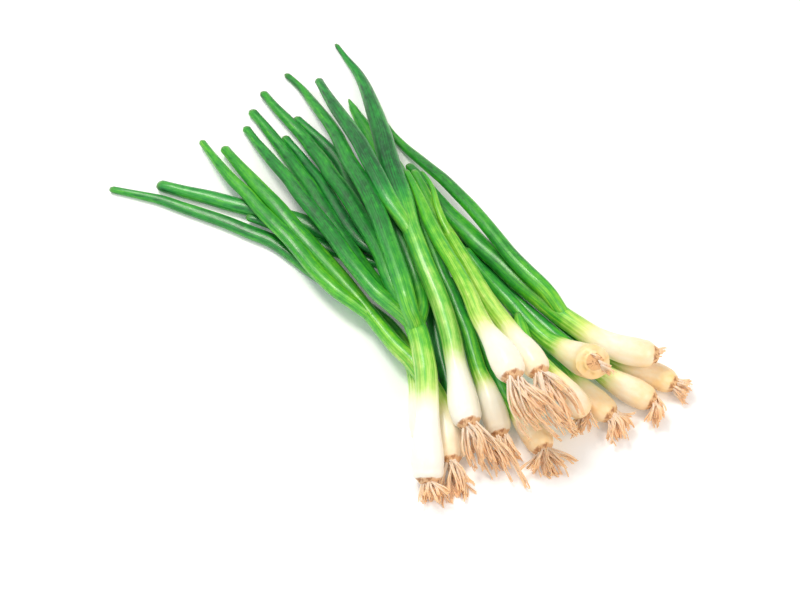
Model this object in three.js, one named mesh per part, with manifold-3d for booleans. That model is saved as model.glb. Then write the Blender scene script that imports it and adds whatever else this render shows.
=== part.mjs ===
// Spring onion bunch: fourteen onions lying in a loose heap, bulbs at one end and leaf tips at the other.
// Millimetres, +Z up, the surface that the heap lies on at Z = 0, +X from the bulbs to the leaf tips.
import * as THREE from 'three';
import { mergeVertices } from 'three/addons/utils/BufferGeometryUtils.js';
import Module from 'manifold-3d';

const wasm = await Module();
wasm.setup();

// Where the heap is looked at from: every route below is a line of [u, v] places on the surface,
// u to the viewer's right and v away from the viewer, as they are covered by the onion seen from here.
const VIEW_DISTANCE = 860;
const VIEW_ELEVATION = THREE.MathUtils.degToRad(55);
const EYE = new THREE.Vector3(
  0,
  -VIEW_DISTANCE * Math.cos(VIEW_ELEVATION),
  VIEW_DISTANCE * Math.sin(VIEW_ELEVATION),
);
// Compass direction, in the viewer's u and v, in which the leaves grow.
const GROWTH_DIRECTION = THREE.MathUtils.degToRad(126);

// How the onions lie on each other.
const GAP = 0.7;
const FLOOR_SINK = 0.05;
const SAMPLE_STEP = 3;
const BLADE_SAG = 0.0022;
const ROOT_SAG = 0.02;
const STIFF_BEYOND_MOUTH = 18;
const SLOPE_FADE = 30;
const EASING_LENGTH = 9;
const SIBLING_START = 8;
const SIBLING_FULL = 32;

// Cross-sections and ring spacing.
const TUBE_SIDES = 8;
const FLAT_SIDE = Math.cos(Math.PI / TUBE_SIDES);
const STALK_RING_STEP = 13;
const BLADE_RING_STEP = 17;
const BULB_RINGS = [2, 6, 12, 20, 29];

// Bulb: swelling over the neck, from the root plate upwards.
const BULB_WIDEST_AT = 11;
const BULB_FADE = 30;
const PLATE_SHARE = 0.5;

// Blades: where they are fullest, how they taper, and how their cut ends close.
const BELLY_AT = 0.4;
const TAPER_POWER = 1.4;
const TIP_PINCH = 0.62;
const TIP_BULGE = 0.25;

// Throat: the green wrapped leaf bases just past the top of the pale stalk.
const THROAT_GAP = 0.3;
const THROAT_LENGTH = 9;
const THROAT_SHARE = 0.7;
const THROAT_RINGS = [0, 0.5, 1];
const THROAT_BULGE = 1;
const BLADE_START_SHARE = 0.5;

// Roots: thin strings from a low disc on the bulb's base.
const ROOT_RADIUS = 0.65;
const ROOT_TIP_SHARE = 0.55;
const ROOT_SIDES = 3;
const ROOT_POINTS = 4;
const ROOT_TRIES = 40;
const ROOT_CLEARANCE = 0.3;
const ROOT_FREE_SAMPLES = 3;
const ROOT_SAMPLE_STEP = 2;
const ROOT_FLOOR_SHARE = 0.5;
const ROOT_LEAST_REACH = 0.55;
const ROOT_REACH_RANGE = 0.5;
const ROOT_SIDE_STRAY = 4;
const ROOT_BOW = 0.28;
const ROOT_BOW_LEAN = 0.5;
const ROOT_START_BULGE = 0.1;
const ROOT_TIP_BULGE = 0.3;
const ROOT_SEED = 7;
const ROOT_SEED_STEP = 31;
const PLATE_GAP = 0.3;
const PLATE_THICKNESS = 2.2;
const PLATE_INSIDE = 0.3;
const PLATE_BULGE = 0.6;
const PLATE_TAPER = 0.8;
const PLATE_RADIUS_SHARE = 0.44;
const ROOTED_SHARE = 0.75;
const ROOTED_DEPTH = 0.5;

// Steps of the repeatable number stream, and the distance at which corners count as one.
const STREAM_FACTOR = 1664525;
const STREAM_STEP = 1013904223;
const STREAM_SPAN = 4294967296;
const MERGE_DISTANCE = 1e-4;

const BULB_WHITE = { color: 0xf3f0dc, roughness: 0.42, metalness: 0 };
const LEAF_GREEN = { color: 0x3f9a35, roughness: 0.45, metalness: 0 };
const ROOT_TAN = { color: 0xe0b888, roughness: 0.8, metalness: 0 };

// The onions from the bottom of the heap to its top.
// bulb, neck and mouth are radii; stalk runs from the root plate to the sheath mouth.
// Each blade runs on from the mouth; its radii are at its base, at its belly and at its tip.
// A third number in a stalk place is the least height of the middle line there.
const ONIONS = [
  {
    name: 'onion_09', bulb: 8.6, neck: 5.6, mouth: 5.2,
    stalk: [[129, -86], [121, -78], [111, -66], [101, -50], [86, -34], [68, -17], [50, -2], [34, 11]],
    blades: [
      {
        radii: [4.8, 5.0, 4.0],
        path: [[19, 21], [0, 31], [-17, 40], [-33, 47], [-47, 53], [-58, 60], [-72, 66], [-86, 71],
          [-99, 75], [-112, 79], [-126, 84], [-139, 88], [-153, 92], [-167, 97]],
      },
      {
        radii: [3.6, 3.6, 2.6],
        path: [[20, 18], [2, 25], [-17, 31], [-34, 36], [-50, 43], [-64, 50], [-78, 57], [-92, 64], [-104, 69]],
      },
    ],
    roots: { count: 12, to: [[121, -97], [131, -103], [138, -99], [140, -86]] },
  },
  {
    name: 'onion_14', bulb: 7.2, neck: 5.0, mouth: 4.8,
    stalk: [[14, -104], [13, -95], [11.5, -80], [10.5, -68], [9.5, -58], [7, -46], [2, -34], [-6, -21], [-15, -12]],
    blades: [
      {
        radii: [4.2, 4.0, 2.3],
        path: [[-25, -3], [-36, 6], [-47, 15], [-58, 24], [-66, 32], [-77, 41], [-84, 47], [-98, 54], [-111, 61],
          [-125, 67], [-138, 73], [-151, 78], [-165, 84], [-176, 87], [-188, 90], [-199, 93]],
      },
    ],
    roots: { count: 6, to: [[12, -112], [20, -112]] },
  },
  {
    name: 'onion_03', bulb: 8.3, neck: 5.8, mouth: 5.4,
    stalk: [[31, -117], [30, -105], [27.5, -88], [21.5, -69], [14, -57], [7, -46], [-1, -37], [-9, -26], [-17, -14]],
    blades: [
      {
        radii: [4.6, 4.6, 3.1],
        path: [[-26, 0], [-34, 11], [-44, 24], [-55, 39], [-67, 54], [-78, 70], [-86, 81], [-95, 92],
          [-105, 105], [-114, 117], [-124, 131]],
      },
      {
        radii: [4.2, 4.0, 2.3],
        path: [[-27, -5], [-37, 4], [-47, 14], [-57, 26], [-66, 39], [-77, 54], [-84, 62], [-94, 74],
          [-104, 88], [-113, 98], [-120, 107], [-129, 120], [-140, 137]],
      },
    ],
    roots: { count: 20, to: [[28, -151], [34, -154], [43, -146], [50, -138]] },
  },
  {
    name: 'onion_13', bulb: 8.2, neck: 5.6, mouth: 5.0,
    stalk: [[169.5, -64], [160, -58], [150, -54], [140, -50], [129, -43], [118, -34], [107, -24], [97, -14], [87, -4]],
    blades: [
      {
        radii: [4.6, 4.6, 2.6],
        path: [[76, 6], [65, 16], [54, 27], [45, 38], [37, 50], [30, 61], [24, 73], [18, 86], [12, 98]],
      },
    ],
    roots: { count: 12, to: [[180, -61], [182, -69], [178, -78]] },
  },
  {
    name: 'onion_11', bulb: 8.8, neck: 5.8, mouth: 5.0,
    stalk: [[155, -76], [144, -69], [135, -63], [125, -55], [113, -43], [101, -31], [89, -17], [77, -3]],
    blades: [
      {
        radii: [4.6, 4.4, 2.4],
        path: [[65, 12], [53, 28], [42, 42], [33, 55], [26, 67]],
      },
    ],
    roots: { count: 10, to: [[146, -90], [153, -94], [159, -84]] },
  },
  {
    name: 'onion_12', bulb: 8.9, neck: 7.1, mouth: 6.9,
    stalk: [[160, -42], [150, -40.5], [139, -37.5], [129, -33], [120, -27], [112, -20], [104, -13]],
    blades: [
      {
        radii: [6.2, 5.4, 2.6],
        path: [[97, -6], [91, 1], [82, 10], [74, 20], [66, 30], [57, 40], [50, 49], [44, 57], [36, 67], [29, 77],
          [23, 87], [17.5, 97], [11, 107], [5, 115]],
      },
      {
        radii: [4.6, 3.7, 2.0],
        path: [[101, -5], [98, 3], [92, 11], [85, 20], [78, 30], [70.5, 40], [65, 50], [59, 60], [52.5, 70],
          [46, 80], [38.5, 90], [31, 100], [22, 110], [13, 120], [4, 130], [-4, 141], [-10, 151], [-14, 161]],
      },
    ],
    roots: { count: 4, to: [[164, -44], [165, -40]] },
  },
  {
    name: 'onion_07', bulb: 8.8, neck: 5.2, mouth: 4.8,
    stalk: [[86, -110], [83, -102], [77, -91], [70, -80], [64, -70], [61, -60], [57.5, -50], [54.5, -40],
      [51, -30], [47.5, -20], [43, -9], [37, 2]],
    blades: [
      {
        radii: [4.3, 4.2, 3.0],
        path: [[29, 13], [20, 24], [11, 35], [1, 46], [-9, 57], [-19, 68], [-27, 81], [-33, 94], [-38, 107],
          [-43, 120], [-49, 128], [-55, 136], [-62, 144], [-68, 151], [-75, 159]],
      },
      {
        radii: [3.6, 3.6, 2.8],
        path: [[27, 10], [15, 18], [2, 27], [-11, 36], [-24, 46], [-33, 58], [-40, 71], [-47, 85], [-54, 99],
          [-62, 111], [-69, 122], [-76, 132], [-82, 141]],
      },
    ],
    roots: { count: 13, to: [[75, -118], [84, -126], [96, -127], [101, -116]] },
  },
  {
    name: 'onion_10', bulb: 10.4, neck: 5.9, mouth: 5.0,
    stalk: [[121.5, -47, 41], [116.5, -50, 33], [108, -42, 23], [98, -35, 16], [92, -30], [86, -23], [80, -15], [74, -6]],
    blades: [
      {
        radii: [4.4, 4.4, 2.6],
        path: [[68, 3], [61, 12], [54, 22], [48, 32], [43, 42]],
      },
    ],
    roots: { count: 4, to: [[131, -53], [127, -57]] },
  },
  {
    name: 'onion_08', bulb: 8.4, neck: 5.4, mouth: 4.6,
    stalk: [[112, -83], [107, -76], [102, -68], [97, -60], [91, -52], [84.5, -43], [79.5, -33], [77.3, -24]],
    blades: [
      {
        radii: [3.6, 3.6, 3.2],
        path: [[76.3, -18], [75.3, -10]],
      },
    ],
    roots: { count: 9, to: [[106, -94], [112, -99], [118, -97]] },
  },
  {
    name: 'onion_04', bulb: 8.3, neck: 5.3, mouth: 4.6,
    stalk: [[60.5, -99], [59, -92], [56.3, -80], [54, -69], [51, -60], [48, -50], [46, -40], [44, -30], [41.5, -20],
      [38, -10], [35, 0]],
    blades: [
      {
        radii: [4.2, 4.2, 0.8],
        path: [[32, 10], [28, 20], [23, 38], [17, 58], [10, 77], [2, 95], [-6, 111], [-13, 125], [-19, 137],
          [-24.5, 149], [-30, 160], [-34, 169], [-37, 177]],
      },
    ],
    roots: { count: 10, to: [[61, -115], [67, -121], [73, -124]] },
  },
  {
    name: 'onion_01', bulb: 9.6, neck: 6.6, mouth: 7.2,
    stalk: [[16.5, -130], [16.5, -118], [16.5, -100], [16.8, -80], [16.4, -62], [15.8, -50], [14.2, -40], [12.5, -30],
      [10.5, -21]],
    blades: [
      {
        radii: [5.0, 4.3, 3.2],
        path: [[5, -15], [-3, -5], [-11, 5], [-18, 15], [-25, 27], [-32, 39], [-39, 51], [-46, 64], [-53, 77],
          [-59, 90], [-66, 102], [-73, 113], [-79, 124], [-86, 135], [-93, 146], [-100, 156], [-107, 166]],
      },
      {
        radii: [4.0, 4.0, 2.8],
        path: [[4, -15], [-5, -6], [-14, 5], [-22, 16], [-30, 28], [-37, 39], [-44, 51], [-52, 64], [-61, 77],
          [-68, 87], [-75, 99], [-83, 110], [-93, 124], [-102, 137], [-110, 150]],
      },
      {
        radii: [4.8, 4.4, 2.8],
        path: [[6, -12], [1, -3], [-3, 8], [-7, 20], [-14, 42], [-20, 54], [-26, 66], [-33, 81], [-39, 92],
          [-46, 103], [-51.5, 114], [-58, 124], [-64, 134], [-71, 145], [-78, 154], [-86, 164], [-93, 174],
          [-100, 184]],
      },
      {
        radii: [4.0, 3.8, 2.2],
        path: [[13, -12], [14, -1], [11.5, 14], [8, 28], [4.5, 40], [-0.5, 56], [-6, 70], [-12, 83], [-17, 95]],
      },
      {
        radii: [5.0, 4.6, 2.1],
        path: [[8, -12], [5, -2], [2, 10], [0, 20], [-6, 40], [-11.5, 60], [-18, 80], [-25.5, 99], [-33, 113],
          [-38.5, 126], [-42.5, 137], [-47, 147], [-53, 158], [-60, 169], [-68, 182], [-75, 192], [-84, 202]],
      },
    ],
    roots: { count: 14, to: [[10, -142], [16, -147], [23, -143], [27, -136]] },
  },
  {
    name: 'onion_02', bulb: 9.4, neck: 6.2, mouth: 6.7,
    stalk: [[42, -92], [40, -84], [38.6, -76], [37, -62], [35, -50], [34, -40], [32.5, -30], [30.5, -20], [28.3, -10],
      [25.6, 0], [22.5, 10], [19, 20], [15.8, 30], [12.7, 40], [9.8, 50]],
    blades: [
      {
        radii: [6.2, 5.6, 1.4],
        path: [[7, 60], [2.5, 80], [-3, 100], [-8, 120], [-12, 140], [-14.5, 150], [-17.5, 162], [-22.5, 180],
          [-29.5, 200], [-35, 210], [-41.5, 221], [-48, 233]],
      },
      {
        radii: [4.6, 4.4, 2.8],
        path: [[2, 64], [-6, 80], [-13, 98], [-20, 115], [-24.5, 126], [-30, 139], [-36, 150], [-42, 161],
          [-48, 172], [-54, 184], [-60, 197]],
      },
    ],
    roots: { count: 24, to: [[44, -119], [52, -126], [60, -127], [68, -135], [74, -126]] },
  },
  {
    name: 'onion_06', bulb: 8.6, neck: 5.8, mouth: 4.9,
    stalk: [[87, -56], [84.5, -50], [79, -40], [73, -30], [68, -20], [62, -10], [56.5, 0], [51, 12], [46, 24], [40.5, 36],
      [36, 46]],
    blades: [
      {
        radii: [4.0, 3.8, 2.2],
        path: [[31, 56], [25.5, 68], [20.5, 80], [17, 90], [13, 101], [9, 110]],
      },
      {
        radii: [2.6, 2.1, 0.7],
        path: [[31, 53], [28.5, 60], [27, 68], [25, 79], [23, 91], [20, 100], [15, 109]],
      },
    ],
    roots: { count: 20, to: [[93, -93], [100, -97], [105, -86], [99, -74]] },
  },
  {
    name: 'onion_05', bulb: 9.5, neck: 5.9, mouth: 5.0,
    stalk: [[70, -59], [67.5, -50], [63.5, -40], [58.5, -30], [53.5, -20], [49.5, -10], [46.5, 0], [43, 10], [39, 20]],
    blades: [
      {
        radii: [4.4, 3.8, 1.6],
        path: [[34.5, 30], [30, 40], [25.5, 50], [21.5, 60], [18, 70], [15, 80], [11.5, 90], [8, 100], [4, 110]],
      },
    ],
    roots: { count: 24, to: [[75, -87], [81, -97], [89, -100], [96, -89]] },
  },
];

// A repeatable stream of numbers from 0 to 1.
function seededStream(seed) {
  let state = seed;
  return () => {
    state = (state * STREAM_FACTOR + STREAM_STEP) % STREAM_SPAN;
    return state / STREAM_SPAN;
  };
}

// The place at a height on the line of sight through a place on the surface.
function raised(seen, height) {
  return EYE.clone().lerp(seen, 1 - height / EYE.z);
}

function smoothStep(from, to, value) {
  const share = THREE.MathUtils.clamp((value - from) / (to - from), 0, 1);
  return share * share * (3 - 2 * share);
}

// Evenly spaced samples of a smooth line through a list of places.
function routeSamples(places, step) {
  const line = new THREE.CatmullRomCurve3(
    places.map(([u, v]) => new THREE.Vector3(u, v, 0)),
    false,
    'centripetal',
  );
  const count = Math.max(2, Math.round(line.getLength() / step));
  const spaced = line.getSpacedPoints(count);
  return spaced.map((seen, index) => ({ seen, along: (line.getLength() * index) / count }));
}

// The least height at which a ball on a line of sight is clear of every ball below it.
function clearHeight(seen, radius, below, share = 1) {
  const climb = EYE.clone().sub(seen).divideScalar(EYE.z);
  const square = climb.lengthSq();
  let height = 0;
  for (const ball of below) {
    const reach = (radius + ball.radius + GAP) * share;
    const x = seen.x - ball.centre.x;
    const y = seen.y - ball.centre.y;
    const z = -ball.centre.z;
    const half = x * climb.x + y * climb.y + z * climb.z;
    const inside = half * half - square * (x * x + y * y + z * z - reach * reach);
    if (inside > 0) {
      height = Math.max(height, (Math.sqrt(inside) - half) / square);
    }
  }
  return height;
}

// Heights of a limp strand: it falls away from each need as a parabola.
function draped(samples, needs, sag) {
  return samples.map(({ along }) => Math.max(
    ...samples.map((other, index) => needs[index] - sag * (along - other.along) ** 2),
  ));
}

// Heights of a stiff strand: straight from one of its highest needs to the next.
function taut(samples, needs) {
  const hull = [];
  const slope = (from, to) => (needs[to] - needs[from]) / (samples[to].along - samples[from].along);
  samples.forEach((_, index) => {
    while (hull.length > 1 && slope(hull.at(-2), hull.at(-1)) <= slope(hull.at(-2), index)) {
      hull.pop();
    }
    hull.push(index);
  });
  return samples.map(({ along }, index) => {
    const after = hull.find((corner) => corner >= index && corner > 0);
    const before = hull[hull.indexOf(after) - 1];
    return needs[before] + slope(before, after) * (along - samples[before].along);
  });
}

// Rounds off the corners in a strand's heights and keeps it over all its needs.
function eased(samples, needs, heights) {
  const rounded = samples.map(({ along }) => {
    let sum = 0;
    let weight = 0;
    samples.forEach((other, index) => {
      const share = Math.exp(-(((along - other.along) / EASING_LENGTH) ** 2));
      sum += share * heights[index];
      weight += share;
    });
    return sum / weight;
  });
  const short = needs.map((need, index) => Math.max(0, need - rounded[index]));
  return rounded.map((height, index) => height + Math.max(
    ...short.map((lift, other) => {
      const distance = (samples[index].along - samples[other].along) / (2 * EASING_LENGTH);
      return lift * Math.exp(-distance * distance);
    }),
  ));
}

// A bulb and its neck: the radius at a distance from the root plate.
function stalkRadius(onion, along, length) {
  const neck = THREE.MathUtils.lerp(onion.neck, onion.mouth, THREE.MathUtils.clamp(along / length, 0, 1));
  const beyond = THREE.MathUtils.clamp((along - BULB_WIDEST_AT) / BULB_FADE, 0, 1);
  const swell = (1 + Math.cos(Math.PI * beyond)) / 2;
  const radius = neck + (onion.bulb - neck) * swell;
  const closing = THREE.MathUtils.clamp(1 - along / BULB_WIDEST_AT, 0, 1);
  return radius * Math.sqrt(1 - closing * closing * (1 - PLATE_SHARE * PLATE_SHARE));
}

// A blade: narrow in the sheath mouth, fullest at its belly, then tapering to its tip.
function bladeRadius(radii, mouth, along, length) {
  const [base, belly, tip] = radii;
  const share = along / length;
  const rise = THREE.MathUtils.lerp(base, belly, smoothStep(0, BELLY_AT, share));
  const beyond = Math.max(0, share - BELLY_AT) / (1 - BELLY_AT);
  const full = share < BELLY_AT ? rise : THREE.MathUtils.lerp(belly, tip, beyond ** TAPER_POWER);
  return THREE.MathUtils.lerp(Math.min(mouth * THROAT_SHARE, full), full, smoothStep(0, THROAT_LENGTH, along));
}

function balls(strand) {
  return strand.samples.map((sample) => ({ centre: sample.centre, radius: sample.radius }));
}

function place(samples, heights) {
  samples.forEach((sample, index) => {
    sample.centre = raised(sample.seen, heights[index]);
    sample.height = heights[index];
  });
}

function needsOf(samples, below) {
  return samples.map((sample) => Math.max(
    sample.radius * FLAT_SIDE - FLOOR_SINK,
    sample.least ?? 0,
    clearHeight(sample.seen, sample.radius, below),
  ));
}

// Heights of a stalk and its first blade: the bulb and stalk are stiff, and the blade beyond is limp.
function mainHeights(samples, needs, mouthAt) {
  const limp = draped(samples, needs, BLADE_SAG);
  const widest = samples.findIndex(({ along }) => along >= BULB_WIDEST_AT);
  const stiffEnd = samples.findIndex(({ along }) => along >= mouthAt + STIFF_BEYOND_MOUTH);
  const last = stiffEnd < 0 ? samples.length - 1 : stiffEnd;
  const stiffNeeds = needs.slice(widest, last + 1);
  stiffNeeds[stiffNeeds.length - 1] = limp[last];
  const stiff = taut(samples.slice(widest, last + 1), stiffNeeds);
  const step = samples[1].along - samples[0].along;
  const tilt = (stiff[1] - stiff[0]) / step;
  const heights = samples.map(({ along }, index) => {
    if (index < widest) {
      return stiff[0] + tilt * (along - samples[widest].along);
    }
    return index <= last ? stiff[index - widest] : limp[index];
  });
  return eased(samples, needs, heights);
}

// Lays one onion on those below it: its stalk and first blade as one strand, then its other blades.
function layOnion(onion, below) {
  const stalkLength = routeSamples(onion.stalk, SAMPLE_STEP).at(-1).along;
  const mainSamples = routeSamples([...onion.stalk, ...onion.blades[0].path], SAMPLE_STEP);
  const mainLength = mainSamples.at(-1).along;
  const fork = mainSamples.findIndex(({ along }) => along >= stalkLength);
  const mouthAt = mainSamples[fork].along;
  for (const sample of mainSamples) {
    const { along } = sample;
    sample.radius = along < mouthAt
      ? stalkRadius(onion, along, mouthAt)
      : bladeRadius(onion.blades[0].radii, onion.mouth, along - mouthAt, mainLength - mouthAt);
  }
  onion.stalk.filter((point) => point.length > 2).forEach(([u, v, least]) => {
    const at = new THREE.Vector3(u, v, 0);
    const nearest = mainSamples.reduce((a, b) => (a.seen.distanceTo(at) < b.seen.distanceTo(at) ? a : b));
    nearest.least = least;
  });

  const mouthPlace = [mainSamples[fork].seen.x, mainSamples[fork].seen.y];
  const others = onion.blades.slice(1).map((blade) => {
    const samples = routeSamples([mouthPlace, ...blade.path], SAMPLE_STEP);
    const length = samples.at(-1).along;
    for (const sample of samples) {
      sample.radius = bladeRadius(blade.radii, onion.mouth, sample.along, length);
    }
    const needs = needsOf(samples, below);
    return { samples, needs, start: draped(samples, needs, BLADE_SAG)[0] };
  });

  const mainNeeds = needsOf(mainSamples, below);
  mainNeeds[fork] = Math.max(mainNeeds[fork], ...others.map(({ start }) => start));
  place(mainSamples, mainHeights(mainSamples, mainNeeds, mouthAt));
  const stalk = { samples: mainSamples.slice(0, fork + 1), mouthAt };
  const blades = [{ samples: mainSamples.slice(fork), from: mouthAt }];
  const mouthHeight = mainSamples[fork].height;
  const rise = mainSamples[fork + 1].height - mainSamples[fork - 1].height;
  const slope = rise / (mainSamples[fork + 1].along - mainSamples[fork - 1].along);

  for (const { samples, needs } of others) {
    const siblings = blades.flatMap(balls);
    needs[0] = mouthHeight;
    samples.forEach((sample, index) => {
      const share = THREE.MathUtils.clamp((sample.along - SIBLING_START) / (SIBLING_FULL - SIBLING_START), 0, 1);
      needs[index] = Math.max(needs[index], clearHeight(sample.seen, sample.radius, siblings, share));
    });
    const lead = samples.map(({ along }) => (
      mouthHeight + slope * along * Math.exp(-along / SLOPE_FADE) - BLADE_SAG * along * along
    ));
    const limp = draped(samples.slice(1), needs.slice(1), BLADE_SAG);
    const heights = eased(samples, needs, lead.map((height, index) => Math.max(height, limp[index - 1] ?? height)));
    place(samples, heights.map((height, index) => THREE.MathUtils.lerp(
      lead[index],
      height,
      smoothStep(0, THROAT_LENGTH, samples[index].along),
    )));
    blades.push({ samples, from: 0 });
  }
  return { onion, stalk, blades };
}

// A ring of a tube, held level: its basis is across the strand and upwards.
function ringAt(line, radii, along, length) {
  const share = THREE.MathUtils.clamp(along / length, 0, 1);
  const tangent = line.getTangentAt(share);
  const across = new THREE.Vector3().crossVectors(new THREE.Vector3(0, 0, 1), tangent).normalize();
  const upward = new THREE.Vector3().crossVectors(tangent, across);
  return { centre: line.getPointAt(share), tangent, across, upward, radius: radii(along) };
}

// A closed tube from rings, its first and last ring closed by a low point.
function tube(rings, sides, startBulge, endBulge) {
  const positions = [];
  const push = (point) => positions.push(point.x, point.y, Math.max(0, point.z));
  for (const ring of rings) {
    for (let side = 0; side < sides; side += 1) {
      const angle = (2 * Math.PI * (side + 0.5)) / sides - Math.PI / 2;
      push(ring.centre.clone()
        .addScaledVector(ring.across, ring.radius * Math.cos(angle))
        .addScaledVector(ring.upward, ring.radius * Math.sin(angle)));
    }
  }
  const first = rings[0];
  const last = rings.at(-1);
  push(first.centre.clone().addScaledVector(first.tangent, -startBulge));
  push(last.centre.clone().addScaledVector(last.tangent, endBulge));
  const startPole = rings.length * sides;
  const endPole = startPole + 1;
  const end = (rings.length - 1) * sides;
  const triangles = [];
  for (let side = 0; side < sides; side += 1) {
    const next = (side + 1) % sides;
    triangles.push(startPole, next, side);
    triangles.push(endPole, end + side, end + next);
    for (let row = 0; row < end; row += sides) {
      triangles.push(row + side, row + next, row + sides + next);
      triangles.push(row + side, row + sides + next, row + sides + side);
    }
  }
  const geometry = new THREE.BufferGeometry();
  geometry.setAttribute('position', new THREE.Float32BufferAttribute(positions, 3));
  geometry.setIndex(triangles);
  return geometry;
}

function solid(geometry) {
  const merged = mergeVertices(geometry, MERGE_DISTANCE);
  return new wasm.Manifold(new wasm.Mesh({
    numProp: 3,
    vertProperties: new Float32Array(merged.attributes.position.array),
    triVerts: new Uint32Array(merged.index.array),
  }));
}

function surface(manifold) {
  const mesh = manifold.getMesh();
  const geometry = new THREE.BufferGeometry();
  geometry.setAttribute('position', new THREE.BufferAttribute(mesh.vertProperties, 3));
  geometry.setIndex(new THREE.BufferAttribute(mesh.triVerts, 1));
  return geometry;
}

function fused(geometries) {
  return surface(geometries.map(solid).reduce((joined, next) => joined.add(next)));
}

function lineOf(samples) {
  return new THREE.CatmullRomCurve3(samples.map(({ centre }) => centre), false, 'centripetal');
}

// A function that reads a strand's radius at a distance along its middle line.
function radiusReader(samples, length) {
  return (along) => {
    const place01 = THREE.MathUtils.clamp(along / length, 0, 1) * (samples.length - 1);
    const low = Math.floor(place01);
    const high = Math.min(samples.length - 1, low + 1);
    return THREE.MathUtils.lerp(samples[low].radius, samples[high].radius, place01 - low);
  };
}

function evenStations(from, to, step) {
  const count = Math.max(1, Math.round((to - from) / step));
  return Array.from({ length: count + 1 }, (_, index) => from + ((to - from) * index) / count);
}

// The pale part of an onion: bulb, neck and sheath.
function stalkGeometry({ onion, stalk }) {
  const line = lineOf(stalk.samples);
  const length = line.getLength();
  const radii = (along) => stalkRadius(onion, along, length);
  const neckStations = evenStations(BULB_RINGS.at(-1), length, STALK_RING_STEP).slice(1);
  const stations = [0, ...BULB_RINGS, ...neckStations];
  return tube(stations.map((along) => ringAt(line, radii, along, length)), TUBE_SIDES, 0, 0);
}

// The green part of an onion: its throat and the blades that grow out of it.
function leafGeometry({ onion, stalk, blades }) {
  const stalkLine = lineOf(stalk.samples);
  const mouth = ringAt(stalkLine, () => onion.mouth, 1, 1);
  const throatRings = THROAT_RINGS.map((share) => ({
    ...mouth,
    radius: onion.mouth * THREE.MathUtils.lerp(1, THROAT_SHARE, share),
    centre: mouth.centre.clone()
      .addScaledVector(mouth.tangent, THREE.MathUtils.lerp(THROAT_GAP, THROAT_LENGTH, share)),
  }));
  const throat = tube(throatRings, TUBE_SIDES, 0, THROAT_BULGE);
  const tubes = blades.map(({ samples }) => {
    const line = lineOf(samples);
    const length = line.getLength();
    const read = radiusReader(samples, length);
    const tip = samples.at(-1).radius;
    const stations = evenStations(onion.mouth * BLADE_START_SHARE, length - tip, BLADE_RING_STEP);
    const rings = stations.map((along) => ringAt(line, read, along, length));
    rings[0] = { ...mouth, centre: rings[0].centre, radius: rings[0].radius };
    rings.push(ringAt(line, () => tip * TIP_PINCH, length - tip * TIP_BULGE, length));
    return tube(rings, TUBE_SIDES, 0, tip * TIP_BULGE);
  });
  return fused([throat, ...tubes]);
}

// The root plate and its roots, which droop over whatever lies below them.
function rootGeometry({ onion, stalk }, below, above, random) {
  const line = lineOf(stalk.samples);
  const base = ringAt(line, () => onion.bulb * PLATE_RADIUS_SHARE, 0, line.getLength());
  const outward = base.tangent.clone().negate();
  const near = { ...base, centre: base.centre.clone().addScaledVector(outward, PLATE_THICKNESS + PLATE_GAP) };
  const far = { ...base, centre: base.centre.clone().addScaledVector(outward, PLATE_GAP + PLATE_INSIDE) };
  near.radius = base.radius * PLATE_TAPER;
  const plate = tube([near, far], TUBE_SIDES, PLATE_BULGE, 0);
  const pieces = [plate];
  const ends = onion.roots.to;
  const lying = [];
  for (let root = 0; root < onion.roots.count; root += 1) {
    for (let attempt = 0; attempt < ROOT_TRIES; attempt += 1) {
      const samples = layRoot(onion, near, outward, ends, below, random);
      const nearby = [...above, ...lying];
      const clear = samples.every((sample, index) => index < ROOT_FREE_SAMPLES || nearby.every((ball) => (
        sample.centre.distanceTo(ball.centre) > ball.radius + ROOT_RADIUS + ROOT_CLEARANCE
      )));
      if (clear) {
        const rootLine = lineOf(samples);
        const length = rootLine.getLength();
        const radii = (along) => ROOT_RADIUS * THREE.MathUtils.lerp(1, ROOT_TIP_SHARE, along / length);
        const rings = evenStations(0, length, length / ROOT_POINTS)
          .map((along) => ringAt(rootLine, radii, along, length));
        pieces.push(tube(rings, ROOT_SIDES, ROOT_START_BULGE, ROOT_TIP_BULGE));
        lying.push(...samples.map(({ centre }) => ({ centre, radius: ROOT_RADIUS })));
        break;
      }
    }
  }
  return { geometry: fused(pieces), lying };
}

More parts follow.
